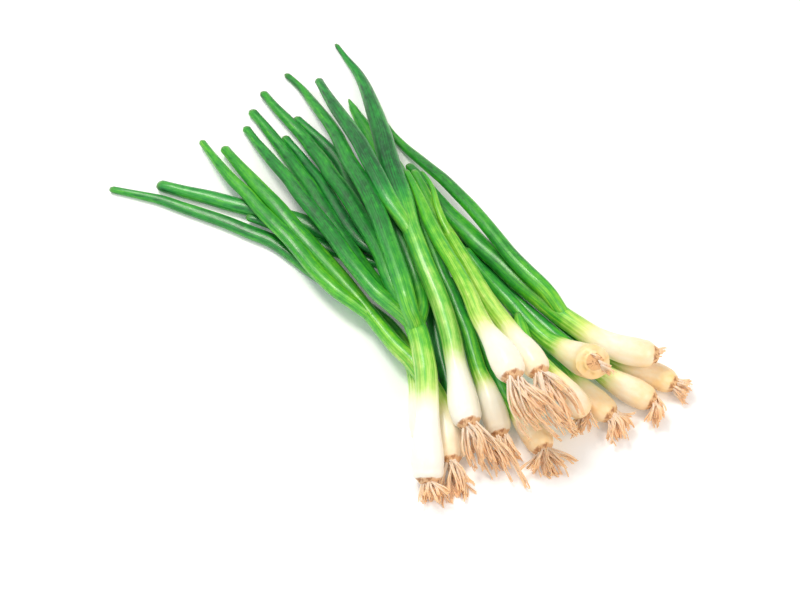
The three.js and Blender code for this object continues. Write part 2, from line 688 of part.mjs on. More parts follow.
// One root: out of the plate, then down and along to its end.
function layRoot(onion, plate, outward, ends, below, random) {
  const turn = 2 * Math.PI * random();
  const off = plate.radius * ROOTED_SHARE * Math.sqrt(random());
  const start = plate.centre.clone()
    .addScaledVector(plate.across, off * Math.cos(turn))
    .addScaledVector(plate.upward, off * Math.sin(turn))
    .addScaledVector(outward, -PLATE_THICKNESS * ROOTED_DEPTH);
  const share = random() * (ends.length - 1);
  const low = ends[Math.floor(share)];
  const high = ends[Math.min(ends.length - 1, Math.floor(share) + 1)];
  const reach = ROOT_LEAST_REACH + ROOT_REACH_RANGE * random();
  const startSeen = EYE.clone().lerp(start, EYE.z / (EYE.z - start.z));
  const aim = new THREE.Vector3(
    THREE.MathUtils.lerp(low[0], high[0], share % 1),
    THREE.MathUtils.lerp(low[1], high[1], share % 1),
    0,
  );
  const end = startSeen.clone().lerp(aim, reach);
  end.x += ROOT_SIDE_STRAY * (random() - 0.5);
  const middle = startSeen.clone().lerp(end, 0.5);
  const bow = startSeen.distanceTo(end) * ROOT_BOW * (random() - 0.5);
  middle.x += bow;
  middle.y += bow * ROOT_BOW_LEAN;
  const samples = routeSamples([startSeen, middle, end].map(({ x, y }) => [x, y]), ROOT_SAMPLE_STEP);
  samples.forEach((sample) => {
    sample.radius = ROOT_RADIUS;
  });
  const needs = samples.map((sample) => Math.max(
    ROOT_RADIUS * ROOT_FLOOR_SHARE,
    clearHeight(sample.seen, ROOT_RADIUS, below),
  ));
  needs[0] = start.z;
  place(samples, draped(samples, needs, ROOT_SAG));
  samples[0].centre = start;
  return samples;
}

function mesh(name, geometry, finish) {
  const piece = new THREE.Mesh(geometry, new THREE.MeshStandardMaterial(finish));
  piece.name = name;
  return piece;
}

const group = new THREE.Group();
const laid = [];
for (const onion of ONIONS) {
  const below = laid.flatMap(({ stalk, blades }) => [stalk, ...blades].flatMap(balls));
  laid.push(layOnion(onion, below));
}

const rootsBelow = [];
laid.forEach((entry, index) => {
  const strands = (entries) => entries.flatMap(({ stalk, blades }) => [stalk, ...blades].flatMap(balls));
  const { name } = entry.onion;
  const below = [...strands(laid.slice(0, index)), ...rootsBelow];
  const random = seededStream(ROOT_SEED + ROOT_SEED_STEP * index);
  const { geometry, lying } = rootGeometry(entry, below, strands(laid.slice(index)), random);
  rootsBelow.push(...lying);
  group.add(mesh(`${name}_shaft`, stalkGeometry(entry), BULB_WHITE));
  group.add(mesh(`${name}_leaves`, leafGeometry(entry), LEAF_GREEN));
  group.add(mesh(`${name}_roots`, geometry, ROOT_TAN));
});

// Turned so that the leaves grow along +X, and centred over the origin.
group.rotation.z = -GROWTH_DIRECTION;
group.updateMatrixWorld(true);
const box = new THREE.Box3().setFromObject(group, true);
const centre = box.getCenter(new THREE.Vector3());
group.position.set(-centre.x, -centre.y, -box.min.z);

export default group;
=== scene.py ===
"""Looks of a spring onion bunch: fourteen onions in a loose heap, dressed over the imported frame.

Lengths are metres in the frame's axes: +X from the bulbs to the leaf tips, +Z up.
"""

import logging
import math
from collections.abc import Callable, Sequence
from dataclasses import dataclass, field
from enum import Enum

import bpy
import numpy as np
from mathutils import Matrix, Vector


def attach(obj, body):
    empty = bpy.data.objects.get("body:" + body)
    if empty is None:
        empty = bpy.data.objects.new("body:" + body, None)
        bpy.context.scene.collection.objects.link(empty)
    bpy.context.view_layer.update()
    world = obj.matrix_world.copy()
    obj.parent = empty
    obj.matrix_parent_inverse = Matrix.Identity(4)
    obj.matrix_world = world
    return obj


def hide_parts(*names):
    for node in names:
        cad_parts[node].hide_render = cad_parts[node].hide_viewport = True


LOG = logging.getLogger("spring_onions")

MM = 0.001

Span = tuple[float, float]
Colour = tuple[float, float, float, float]
Setting = str | int | float | bool | Sequence


def shade_of(code: str) -> Colour:
    """Turns a screen colour such as 'f3e9c8' into the linear colour that shaders take.

    Args:
        code: six hexadecimal digits, red first.

    Returns:
        Red, green, blue and a full alpha.
    """
    parts = [int(code[at : at + 2], 16) / 255 for at in (0, 2, 4)]
    linear = [p / 12.92 if p <= 0.04045 else ((p + 0.055) / 1.055) ** 2.4 for p in parts]
    return (linear[0], linear[1], linear[2], 1.0)


def smooth_step(low: float, high: float, value: np.ndarray) -> np.ndarray:
    """Eases from 0 at low to 1 at high.

    Args:
        low: where the rise starts.
        high: where the rise ends.
        value: the values to ease.

    Returns:
        An array of the same shape, between 0 and 1.
    """
    share = np.clip((value - low) / (high - low), 0, 1)
    return share * share * (3 - 2 * share)


def eased_line(
    first: np.ndarray, last: np.ndarray, leaving: np.ndarray, arriving: np.ndarray, share: np.ndarray
) -> np.ndarray:
    """Runs a smooth line between two places.

    Args:
        first: the place where it starts.
        last: the place where it ends.
        leaving: its slope at the start, for a share of 1.
        arriving: its slope at the end, for a share of 1.
        share: how far along the line each wanted place is.

    Returns:
        The wanted places.
    """
    return (
        first * (1 + 2 * share) * (1 - share) ** 2
        + leaving * share * (1 - share) ** 2
        + last * share**2 * (3 - 2 * share)
        + arriving * share**2 * (share - 1)
    )


def cross_axes(way: np.ndarray) -> tuple[np.ndarray, np.ndarray]:
    """Gives two unit directions across a way, or across each of a row of ways.

    Args:
        way: the unit direction or directions.

    Returns:
        The level one to the left, and the one above it.
    """
    across = np.cross([0.0, 0.0, 1.0], way)
    across /= np.linalg.norm(across, axis=-1, keepdims=True)
    return across, np.cross(way, across)


class LeafHue(Enum):
    """How far a leaf leans from yellow green, 0, to blue green, 1."""

    LIME = 0.0
    GRASS = 0.35
    DEEP = 0.65


@dataclass(frozen=True)
class Growth:
    """How one onion is coloured along its length.

    Attributes:
        white_to: distance from the root plate up to which the bulb is white.
        green_from: distance at which the stalk is fully green.
        stalk_depth: how deep the green is at the sheath mouth, from 0 to 1; on onions inside the heap it also
            holds painted shade.
        leaf_depth: how deep the green of the leaves is, from 0 to 1; on onions inside the heap it also holds
            painted shade.
        hue: the leaves' lean from yellow to blue.
        warmth: how creamy and tanned the bulb is, from 0 to 1.
        root_reach: how far the fine roots reach, as a share of the CAD roots' reach.
        base_fullness: how much fuller the bulb's base is than the CAD's.
        plate_faces: direction in which an upturned root plate faces, if the bulb has one.
        plate_edge: distances between which the root plate's colour fades.
        leaf_fullness: how much fuller the leaves' upper halves are than the CAD's.
    """

    white_to: float
    green_from: float
    stalk_depth: float
    leaf_depth: float
    hue: LeafHue
    warmth: float
    root_reach: float
    base_fullness: float = 0.12
    plate_faces: tuple[float, float, float] | None = None
    plate_edge: Span = (-0.001, 0.004)
    leaf_fullness: float = 0.0


# Onions 7, 9, 11 and 13 lie low inside the heap: their deeper stalk and leaf greens are partly their own
# colour and partly painted shade of the heap's interior.
GROWTHS = {
    1: Growth(0.036, 0.066, 0.55, 0.83, LeafHue.GRASS, 0.08, 1.05, 0.25),
    2: Growth(0.029, 0.058, 0.52, 0.88, LeafHue.DEEP, 0.15, 1.12, 0.18),
    3: Growth(0.020, 0.050, 0.60, 0.72, LeafHue.LIME, 0.55, 1.05),
    4: Growth(0.022, 0.046, 0.76, 0.70, LeafHue.GRASS, 0.30, 1.00, leaf_fullness=1.3),
    5: Growth(0.025, 0.054, 0.50, 0.66, LeafHue.LIME, 0.30, 1.30),
    6: Growth(0.023, 0.050, 0.50, 0.66, LeafHue.LIME, 0.50, 1.30),
    7: Growth(0.018, 0.040, 0.82, 0.86, LeafHue.DEEP, 0.90, 1.25),
    8: Growth(0.022, 0.045, 0.60, 0.70, LeafHue.LIME, 0.85, 1.30),
    9: Growth(0.018, 0.044, 0.80, 0.78, LeafHue.DEEP, 0.90, 1.20),
    10: Growth(
        0.018,
        0.040,
        0.70,
        0.80,
        LeafHue.GRASS,
        0.95,
        0.90,
        0.32,
        plate_faces=(-0.50, 0.30, 0.81),
        plate_edge=(-0.0023, -0.0012),
    ),
    11: Growth(0.018, 0.044, 0.74, 0.90, LeafHue.DEEP, 0.85, 1.20),
    12: Growth(0.028, 0.058, 0.56, 0.80, LeafHue.LIME, 0.75, 0.80),
    13: Growth(0.022, 0.050, 0.82, 0.94, LeafHue.DEEP, 1.00, 0.92),
    14: Growth(0.020, 0.050, 0.62, 0.80, LeafHue.GRASS, 0.25, 1.00),
}


# Leaves that are tucked in under the stalks, as places in millimetres.
TUCKED_LEAVES = {
    3: (
        (
            (-113, 29, 8),
            (-106, 22, 8),
            (-95, 16, 8.5),
            (-81, 9.5, 9),
            (-68, 3, 10),
            (-54, -4, 11),
            (-41, -10, 12),
            (-30, -16, 12),
        ),
    ),
}


@dataclass
class Strand:
    """A line of ring centres with each ring's radius, from the root end to the leaf end."""

    centres: np.ndarray
    radii: np.ndarray

    def along(self) -> np.ndarray:
        """Returns the distance of each ring from the first."""
        steps = np.linalg.norm(np.diff(self.centres, axis=0), axis=1)
        return np.concatenate([[0.0], np.cumsum(steps)])

    def forwards(self) -> "Strand":
        """Puts the root end first.

        Returns:
            The strand, turned round where its leaf end came first.
        """
        if self.centres[0][0] <= self.centres[-1][0]:
            return self
        return Strand(self.centres[::-1], self.radii[::-1])

    def fine(self, step: float) -> "Strand":
        """Fills in a smooth line between the rings.

        Args:
            step: the distance between the new rings.

        Returns:
            A strand with evenly spaced rings.
        """
        at = self.along()
        count = max(4, round(at[-1] / step))
        wanted = np.linspace(0, at[-1], count + 1)
        rows = np.column_stack([self.centres, self.radii])
        slopes = np.gradient(rows, at, axis=0)
        secants = np.diff(self.radii) / np.diff(at)
        before, after = secants[:-1], secants[1:]
        level = before * after <= 0
        mean = 2 * before * after / np.where(level, 1.0, before + after)
        slopes[:, 3] = np.concatenate([secants[:1], np.where(level, 0.0, mean), secants[-1:]])
        left = np.clip(np.searchsorted(at, wanted, side="right") - 1, 0, len(at) - 2)
        width = (at[left + 1] - at[left])[:, None]
        share = (wanted[:, None] - at[left][:, None]) / width
        filled = eased_line(rows[left], rows[left + 1], slopes[left] * width, slopes[left + 1] * width, share)
        return Strand(filled[:, :3], filled[:, 3])

    def tangents(self) -> np.ndarray:
        """Returns the unit direction of growth at each ring."""
        ways = np.gradient(self.centres, axis=0)
        return ways / np.linalg.norm(ways, axis=1, keepdims=True)

    def led_from(self, place: np.ndarray, way: np.ndarray, radius: float, step: float) -> "Strand":
        """Joins the strand smoothly to a place before it.

        Args:
            place: where the joined strand starts.
            way: the unit direction in which it starts.
            radius: its radius there.
            step: the distance between the rings of the join.

        Returns:
            A strand that starts at the place and runs on into this one.
        """
        gap = float(np.linalg.norm(self.centres[0] - place))
        lead = self.centres[1] - self.centres[0] if len(self.centres) > 1 else self.centres[0] - place
        lead /= np.linalg.norm(lead)
        share = np.linspace(0, 1, max(2, round(gap / step)) + 1)[:-1, None]
        joined = eased_line(place, self.centres[0], way * gap, lead * gap, share)
        radii = radius + (self.radii[0] - radius) * share[:, 0]
        return Strand(np.vstack([joined, self.centres]), np.concatenate([radii, self.radii]))


@dataclass
class NodeRings:
    """Reads the tubes that a CAD node was built from: rings of vertices from each closed tip."""

    node: bpy.types.Object
    points: np.ndarray = field(init=False)
    near: list[set[int]] = field(init=False)

    def __post_init__(self) -> None:
        """Merges a copy of the node's loose triangles and lists each vertex's neighbours."""
        mesh = self.node.data
        raw = np.zeros(len(mesh.vertices) * 3, np.float32)
        mesh.vertices.foreach_get("co", raw)
        keys = np.round(raw.reshape(-1, 3) / (0.001 * MM)).astype(np.int64)
        _, first, merged = np.unique(keys, axis=0, return_index=True, return_inverse=True)
        merged = merged.ravel()
        self.points = raw.reshape(-1, 3)[first].astype(float)
        self.near = [set() for _ in self.points]
        for polygon in mesh.polygons:
            corners = [int(merged[v]) for v in polygon.vertices]
            for corner in corners:
                self.near[corner].update(c for c in corners if c != corner)

    def rings_from(self, tip: int, sides: int) -> list[list[int]]:
        """Walks away from a tip for as long as each step meets one whole ring.

        Args:
            tip: the vertex that closes the tube.
            sides: how many vertices a ring has.

        Returns:
            The rings, the tip's own first.
        """
        seen = {tip}
        ring = {tip}
        rings = []
        while True:
            ring = set().union(*(self.near[v] for v in ring)) - seen
            if len(ring) != sides:
                return rings
            seen |= ring
            rings.append(sorted(ring))

    def strands(self, sides: int, least: int) -> list[Strand]:
        """Finds every tube that ends in a tip.

        Args:
            sides: how many vertices a ring has.
            least: the fewest rings that make a tube.

        Returns:
            One strand for each tip, with the tip's ring first.
        """
        found = []
        for tip, neighbours in enumerate(self.near):
            if len(neighbours) != sides:
                continue
            rings = self.rings_from(tip, sides)
            if len(rings) < least:
                continue
            centres = np.array([self.points[ring].mean(axis=0) for ring in rings])
            radii = [
                np.linalg.norm(self.points[ring] - centre, axis=1).mean()
                for ring, centre in zip(rings, centres)
            ]
            found.append(Strand(centres, np.array(radii)))
        return found


Outline = Callable[[np.ndarray, np.ndarray, np.ndarray, np.ndarray], np.ndarray]


@dataclass
class Tone:
    """What the colour of a tube depends on.

    Attributes:
        depth: for each ring, how green it is.
        hue: lean from yellow to blue.
        warmth: lean to cream and tan.
        dry: for each ring, how dried out a leaf is, or how much of a bulb is root plate.
    """

    depth: np.ndarray
    hue: float
    warmth: float
    dry: np.ndarray

    def rows(self, sides: int) -> np.ndarray:
        """Spreads the tone over a tube's vertices.

        Args:
            sides: vertices in each ring.

        Returns:
            A row for each vertex, and one for each of the tube's two poles.
        """
        flat = np.ones(len(self.depth))
        rings = np.column_stack([self.depth, flat * self.hue, flat * self.warmth, self.dry])
        return np.vstack([np.repeat(rings, sides, axis=0), rings[[0, -1]]])


@dataclass
class Skin:
    """A piece's surface while it is put together from closed tubes.

    Attributes:
        name: the finished piece's name.
        points: vertex places of each tube.
        faces: faces of all tubes.
        grain: for each vertex, cosine and sine of its turn round the strand and its distance along.
        tones: for each vertex, its tone's four numbers.
        count: how many vertices there are.
    """

    name: str
    points: list[np.ndarray] = field(default_factory=list)
    faces: list[tuple[int, ...]] = field(default_factory=list)
    grain: list[np.ndarray] = field(default_factory=list)
    tones: list[np.ndarray] = field(default_factory=list)
    count: int = 0

    def add_tube(
        self,
        strand: Strand,
        sides: int,
        outline: Outline,
        start: float,
        tone: Tone,
        broad: np.ndarray | float = 0.0,
    ) -> None:
        """Adds a closed tube round a strand.

        Args:
            strand: ring centres and radii.
            sides: vertices in each ring.
            outline: gives the radius factor for turn angles and distances along, since and left.
            start: distance from the root plate of the first ring.
            tone: what its colour depends on.
            broad: how much wider than high each ring is.
        """
        rings = len(strand.centres)
        across, upward = cross_axes(strand.tangents())
        turn = 2 * np.pi * (np.arange(sides) + 0.5) / sides
        along = strand.along() + start
        since, left = along - along[0], along[-1] - along
        factor = outline(turn[None, :], along[:, None], since[:, None], left[:, None])
        reach = (strand.radii[:, None] * factor)[:, :, None]
        wide = (np.ones(rings) + broad)[:, None, None]
        body = (
            strand.centres[:, None, :]
            + reach * wide * np.cos(turn)[None, :, None] * across[:, None, :]
            + reach * np.sin(turn)[None, :, None] * upward[:, None, :]
        ).reshape(-1, 3)
        poles = np.stack([body[:sides].mean(axis=0), body[-sides:].mean(axis=0)])
        points = np.concatenate([body, poles])
        points[:, 2] = np.maximum(points[:, 2], 0)
        self.points.append(points)
        spins = np.column_stack([np.cos(turn), np.sin(turn)])
        grain = np.column_stack([np.tile(spins, (rings, 1)), np.repeat(along, sides)])
        self.grain.append(np.vstack([grain, [[0, 0, along[0]], [0, 0, along[-1]]]]))
        self.tones.append(tone.rows(sides))
        base = self.count
        first_pole = base + rings * sides
        last = base + (rings - 1) * sides
        for side in range(sides):
            after = (side + 1) % sides
            self.faces.append((first_pole, base + after, base + side))
            self.faces.append((first_pole + 1, last + side, last + after))
            for row in range(base, last, sides):
                self.faces.append((row + side, row + after, row + sides + after, row + sides + side))
        self.count += len(points)

    def finished(self, material: bpy.types.Material) -> bpy.types.Object:
        """Makes the piece's object.

        Args:
            material: what the piece is dressed in.

        Returns:
            A smooth-shaded mesh object at the origin.
        """
        mesh = bpy.data.meshes.new(self.name)
        mesh.from_pydata(np.concatenate(self.points).tolist(), [], self.faces)
        grain = mesh.attributes.new("grain", "FLOAT_VECTOR", "POINT")
        grain.data.foreach_set("vector", np.concatenate(self.grain).astype(np.float32).ravel())
        for name, values in zip(("depth", "hue", "warmth", "dry"), np.concatenate(self.tones).T):
            attribute = mesh.attributes.new(name, "FLOAT", "POINT")
            attribute.data.foreach_set("value", values.astype(np.float32))
        mesh.shade_smooth()
        mesh.materials.append(material)
        piece = bpy.data.objects.new(self.name, mesh)
        bpy.context.scene.collection.objects.link(piece)
        return piece


class NodeTree:
    """A shader or geometry node tree, with one method that adds any node."""

    def __init__(self, tree: bpy.types.NodeTree) -> None:
        """Wraps a tree."""
        self.tree = tree

    def node(
        self,
        kind: str,
        settings: dict[str, Setting] | None = None,
        inputs: dict[str | int, "Setting | Value | bpy.types.NodeSocket"] | None = None,
    ) -> bpy.types.Node:
        """Adds a node, sets it up and fills its sockets.

        Args:
            kind: the node's type.
            settings: its own properties, and 'stops' for a colour ramp.
            inputs: a value or a link for each named or numbered socket.

        Returns:
            The node.
        """
        made = self.tree.nodes.new(kind)
        for key, value in (settings or {}).items():
            if key == "stops":
                self._set_stops(made.color_ramp, value)
            else:
                setattr(made, key, value)
        for key, value in (inputs or {}).items():
            socket = made.inputs[key]
            if isinstance(value, Value):
                self.tree.links.new(value.socket, socket)
            elif isinstance(value, bpy.types.NodeSocket):
                self.tree.links.new(value, socket)
            else:
                socket.default_value = value
        return made

    @staticmethod
    def _set_stops(ramp: bpy.types.ColorRamp, stops: Sequence[tuple[float, Colour]]) -> None:
        """Gives a colour ramp its stops.

        Args:
            ramp: the ramp, which starts with two stops.
            stops: position and colour of each stop, in order.
        """
        while len(ramp.elements) < len(stops):
            ramp.elements.new(1.0)
        for element, (position, colour) in zip(ramp.elements, stops):
            element.position = position
            element.color = colour

    def value(self, socket: bpy.types.NodeSocket) -> "Value":
        """Wraps a number socket for arithmetic."""
        return Value(self, socket)


class Graph(NodeTree):
    """A material's node tree."""

    def __init__(self, name: str) -> None:
        """Starts an empty material.

        Args:
            name: the material's name.
        """
        self.material = bpy.data.materials.new(name)
        self.material.use_nodes = True
        super().__init__(self.material.node_tree)
        self.tree.nodes.clear()

    def attribute(self, name: str) -> bpy.types.Node:
        """Adds a node that reads one of the piece's attributes."""
        return self.node("ShaderNodeAttribute", {"attribute_name": name})

    def noise(
        self,
        vector: bpy.types.NodeSocket,
        scale: tuple[float, float, float],
        detail: float = 3.0,
        shift: float = 0.0,
    ) -> "Value":
        """Adds a noise pattern on a stretched vector.

        Args:
            vector: where the pattern is read.
            scale: how fine it is along each of the vector's parts.
            detail: octaves of finer noise.
            shift: moves the pattern, so that two alike don't coincide.

        Returns:
            A value around one half.
        """
        stretched = self.node(
            "ShaderNodeMapping", {}, {"Vector": vector, "Scale": scale, "Location": (shift,) * 3}
        )
        made = self.node(
            "ShaderNodeTexNoise", {}, {"Vector": stretched.outputs[0], "Scale": 1.0, "Detail": detail}
        )
        return self.value(made.outputs[0])

    def ramp(self, factor: "Value", stops: Sequence[tuple[float, Colour]]) -> bpy.types.NodeSocket:
        """Adds a colour ramp and returns its colour."""
        return self.node("ShaderNodeValToRGB", {"stops": stops}, {"Fac": factor}).outputs["Color"]

    def mix(
        self,
        share: "Value | float",
        first: bpy.types.NodeSocket | Colour,
        second: bpy.types.NodeSocket | Colour,
    ) -> bpy.types.NodeSocket:
        """Mixes two colours.

        Args:
            share: how much of the second.
            first: the colour at share 0.
            second: the colour at share 1.

        Returns:
            The mixed colour's socket.
        """
        return self.node("ShaderNodeMix", {"data_type": "RGBA"}, {0: share, 6: first, 7: second}).outputs[2]

    def surface(self, inputs: dict[str, "Setting | Value | bpy.types.NodeSocket"]) -> bpy.types.Material:
        """Closes the tree with a principled surface.

        Args:
            inputs: what its sockets hold.

        Returns:
            The finished material.
        """
        skin = self.node("ShaderNodeBsdfPrincipled", {}, inputs)
        self.node("ShaderNodeOutputMaterial", {}, {"Surface": skin.outputs[0]})
        return self.material


class Value:
    """A number socket on which arithmetic adds Math nodes."""

    def __init__(self, graph: NodeTree, socket: bpy.types.NodeSocket) -> None:
        """Wraps a socket of a node tree."""
        self.graph = graph
        self.socket = socket

    def _math(
        self, operation: str, *terms: "Value | float | bpy.types.NodeSocket", clamp: bool = False
    ) -> "Value":
        """Adds one Math node.

        Args:
            operation: what it does.
            terms: its two or three numbers.
            clamp: whether the result is kept between 0 and 1.

        Returns:
            The result as a value.
        """
        settings = {"operation": operation, "use_clamp": clamp}
        made = self.graph.node("ShaderNodeMath", settings, dict(enumerate(terms)))
        return Value(self.graph, made.outputs[0])

    def __add__(self, other: "Value | float | bpy.types.NodeSocket") -> "Value":
        """Adds."""
        return self._math("ADD", self, other)

    def __sub__(self, other: "Value | float") -> "Value":
        """Subtracts."""
        return self._math("SUBTRACT", self, other)

    def __rsub__(self, other: float) -> "Value":
        """Subtracts from a number."""
        return self._math("SUBTRACT", other, self)

    def __mul__(self, other: "Value | float | bpy.types.NodeSocket") -> "Value":
        """Multiplies."""
        return self._math("MULTIPLY", self, other)

    __radd__ = __add__
    __rmul__ = __mul__

    def __pow__(self, exponent: float) -> "Value":
        """Raises to a power."""
        return self._math("POWER", self, exponent)

    def at_least(self, least: bpy.types.NodeSocket) -> "Value":
        """Takes the larger of the value and another."""
        return self._math("MAXIMUM", self, least)

    def clamped(self) -> "Value":
        """Keeps the value between 0 and 1."""
        return self._math("ADD", self, 0.0, clamp=True)

    def above(self, low: float, high: float) -> "Value":
        """Rises from 0 at low to 1 at high.

        Args:
            low: where the rise starts.
            high: where the rise ends.

        Returns:
            A value between 0 and 1.
        """
        settings = {"interpolation_type": "SMOOTHSTEP"}
        made = self.graph.node(
            "ShaderNodeMapRange", settings, {"Value": self, "From Min": low, "From Max": high}
        )
        return Value(self.graph, made.outputs[0])


@dataclass(frozen=True)
class Pattern:
    """A noise pattern that runs with the grain of a stalk or a leaf.

    Attributes:
        across: how fine it is round the stalk.
        along: how fine it is along the stalk, for each metre.
        detail: octaves of finer noise.
        shift: moves it, so that two patterns don't coincide.
        contrast: how far it lightens and darkens the green.
    """

    across: float
    along: float
    detail: float
    shift: float
    contrast: float = 0.0

    def read(self, graph: Graph, grain: bpy.types.NodeSocket) -> Value:
        """Adds the pattern to a material and returns its value, around one half."""
        return graph.noise(grain, (self.across, self.across, self.along), self.detail, self.shift)


@dataclass(frozen=True)
class PlantFinish:
    """The living skin of bulbs, stalks and leaves.

    Edges are the two values of a pattern between which a mark sets in.

    Attributes:
        name: the material's name.
        yellow_stops: colours from white bulb to deep leaf on a yellow-green plant.
        blue_stops: the same on a blue-green plant.
        cream: what a tanned bulb leans to.
        tan_to: distance from the root plate up to which a bulb is tanned.
        plate: colour of the root plate.
        scar: colour of the dark pits in the root plate.
        shadow: colour between the veins and in small marks.
        dried: colour of the dried leaf ends.
        bloom: colour of the pale waxy lines on leaves.
        bloom_share: how much of it shows.
        vein_depth: how much fine veins darken the green.
        roughness: of the cleanest skin.
        coat: weight of the wet gloss.
        coat_roughness: of the wet gloss.
        subsurface: how much light passes under the skin.
        light_reach: how far red, green and blue light pass under the skin.
        relief: height of the bump.
        relief_strength: how much of it shows.
        relief_shares: how much of it veins, fibres, specks and the root plate have.
        veins: broad lines along a leaf.
        fibres: fine lines along a leaf.
        clouds: long soft changes of green.
        bands: shorter ones.
        blotches: soft patches.
        specks: small marks.
        green_from: depths of green between which a bulb's white skin ends.
        hue_swing: how far the clouds turn the hue.
        line_edges: of the dark veins and fibres.
        bloom_edges: of the waxy lines.
        band_edges: of the bands that carry waxy lines.
        spot_edges: of the dark spots.
        spots_from: depths of green between which spots set in.
        spot_share: how dark the spots are.
        spots_at_ends: how much more there are on dried ends.
        tan_edges: of the tanned blotches.
        tan_shares: how much of the tan follows the blotches, the bulb's base and all of it.
        rim_edges: of the root plate's colour.
        rim_share: how much of the plate's colour shows.
        pit_edges: of the pits in the root plate.
        pit_share: how dark the pits are.
        roughness_swing: how much blotches and bands roughen the skin.
        rim_roughness: how much rougher the root plate is.
    """

    name: str
    yellow_stops: tuple[tuple[float, str], ...]
    blue_stops: tuple[tuple[float, str], ...]
    cream: str
    tan_to: float
    plate: str
    scar: str
    shadow: str
    dried: str
    bloom: str
    bloom_share: float
    vein_depth: float
    roughness: float
    coat: float
    coat_roughness: float
    subsurface: float
    relief: float
    veins: Pattern = Pattern(9.0, 12.0, 2.0, 0.0, 0.4)
    fibres: Pattern = Pattern(26.0, 30.0, 2.0, 7.0)
    clouds: Pattern = Pattern(0.8, 45.0, 4.0, 3.0, 0.5)
    bands: Pattern = Pattern(2.6, 28.0, 3.0, 23.0, 0.55)
    blotches: Pattern = Pattern(2.2, 160.0, 3.0, 11.0, 0.35)
    specks: Pattern = Pattern(2.5, 420.0, 2.0, 17.0, 0.12)
    green_from: Span = (0.05, 0.5)
    hue_swing: float = 0.9
    line_edges: Span = (0.45, 0.7)
    bloom_edges: Span = (0.52, 0.7)
    band_edges: Span = (0.5, 0.7)
    spot_edges: Span = (0.66, 0.74)
    spots_from: Span = (0.55, 0.8)
    spot_share: float = 0.6
    spots_at_ends: float = 0.12
    tan_edges: Span = (0.3, 0.75)
    tan_shares: tuple[float, float, float] = (0.3, 0.5, 0.3)
    rim_edges: Span = (0.3, 0.7)
    rim_share: float = 0.9
    pit_edges: Span = (0.5, 0.62)
    pit_share: float = 0.8
    roughness_swing: float = 0.2
    rim_roughness: float = 0.3
    light_reach: tuple[float, float, float] = (4.0 * MM, 4.0 * MM, 2.0 * MM)
    relief_strength: float = 0.7
    relief_shares: tuple[float, float, float, float] = (0.6, 0.25, 0.5, 3.0)

    def material(self) -> bpy.types.Material:
        """Builds the material from the piece's own attributes.

        Returns:
            The material.
        """
        graph = Graph(self.name)
        grain = graph.attribute("grain").outputs["Vector"]
        depth, hue, warmth, dry = (
            graph.value(graph.attribute(name).outputs["Fac"]) for name in ("depth", "hue", "warmth", "dry")
        )
        along = graph.value(graph.node("ShaderNodeSeparateXYZ", {}, {0: grain}).outputs[2])
        patterns = (self.veins, self.fibres, self.clouds, self.bands, self.blotches, self.specks)
        noises = [pattern.read(graph, grain) for pattern in patterns]
        veins, fibres, clouds, bands, blotches, specks = noises
        greenness = depth.above(*self.green_from)
        swings = [(noise - 0.5) * kind.contrast for noise, kind in zip(noises, patterns) if kind.contrast]
        told = (depth + sum(swings) * greenness).clamped()
        yellow = graph.ramp(told, [(at, shade_of(code)) for at, code in self.yellow_stops])
        blue = graph.ramp(told, [(at, shade_of(code)) for at, code in self.blue_stops])
        green = graph.mix((hue + (clouds - 0.5) * self.hue_swing).clamped(), yellow, blue)
        lines = (veins.above(*self.line_edges) + fibres.above(*self.line_edges)) * 0.5 * greenness
        veined = graph.mix(lines * self.vein_depth, green, shade_of(self.shadow))
        bloom = fibres.above(*self.bloom_edges) * bands.above(*self.band_edges) * greenness
        misted = graph.mix(bloom * self.bloom_share, veined, shade_of(self.bloom))
        spots = (specks + dry * self.spots_at_ends).above(*self.spot_edges) * depth.above(*self.spots_from)
        marked = graph.mix(spots * self.spot_share, misted, shade_of(self.shadow))
        by_blotch, by_base, by_all = self.tan_shares
        low = 1 - along.above(0.0, self.tan_to)
        tanned = blotches.above(*self.tan_edges) * by_blotch + low * by_base + by_all
        tan = (warmth * (1 - greenness) * tanned).clamped()
        creamy = graph.mix(tan, marked, shade_of(self.cream))
        rim = (dry + (blotches - 0.5) * 0.5).above(*self.rim_edges) * (1 - greenness)
        based = graph.mix(rim * self.rim_share, creamy, shade_of(self.plate))
        scarred = graph.mix(rim * specks.above(*self.pit_edges) * self.pit_share, based, shade_of(self.scar))
        body = graph.mix(dry * greenness, scarred, shade_of(self.dried))
        swing = (blotches + bands) * self.roughness_swing
        risen = zip((veins, fibres, specks, rim * blotches), self.relief_shares)
        bump = graph.node(
            "ShaderNodeBump",
            {},
            {
                "Height": sum(height * share for height, share in risen),
                "Distance": self.relief,
                "Strength": self.relief_strength,
            },
        )
        return graph.surface(
            {
                "Base Color": body,
                "Roughness": self.roughness + swing + rim * self.rim_roughness,
                "Normal": bump.outputs[0],
                "Coat Weight": self.coat,
                "Coat Roughness": self.coat_roughness,
                "Subsurface Weight": self.subsurface,
                "Subsurface Radius": self.light_reach,
                "Subsurface Scale": 1.0,
            }
        )


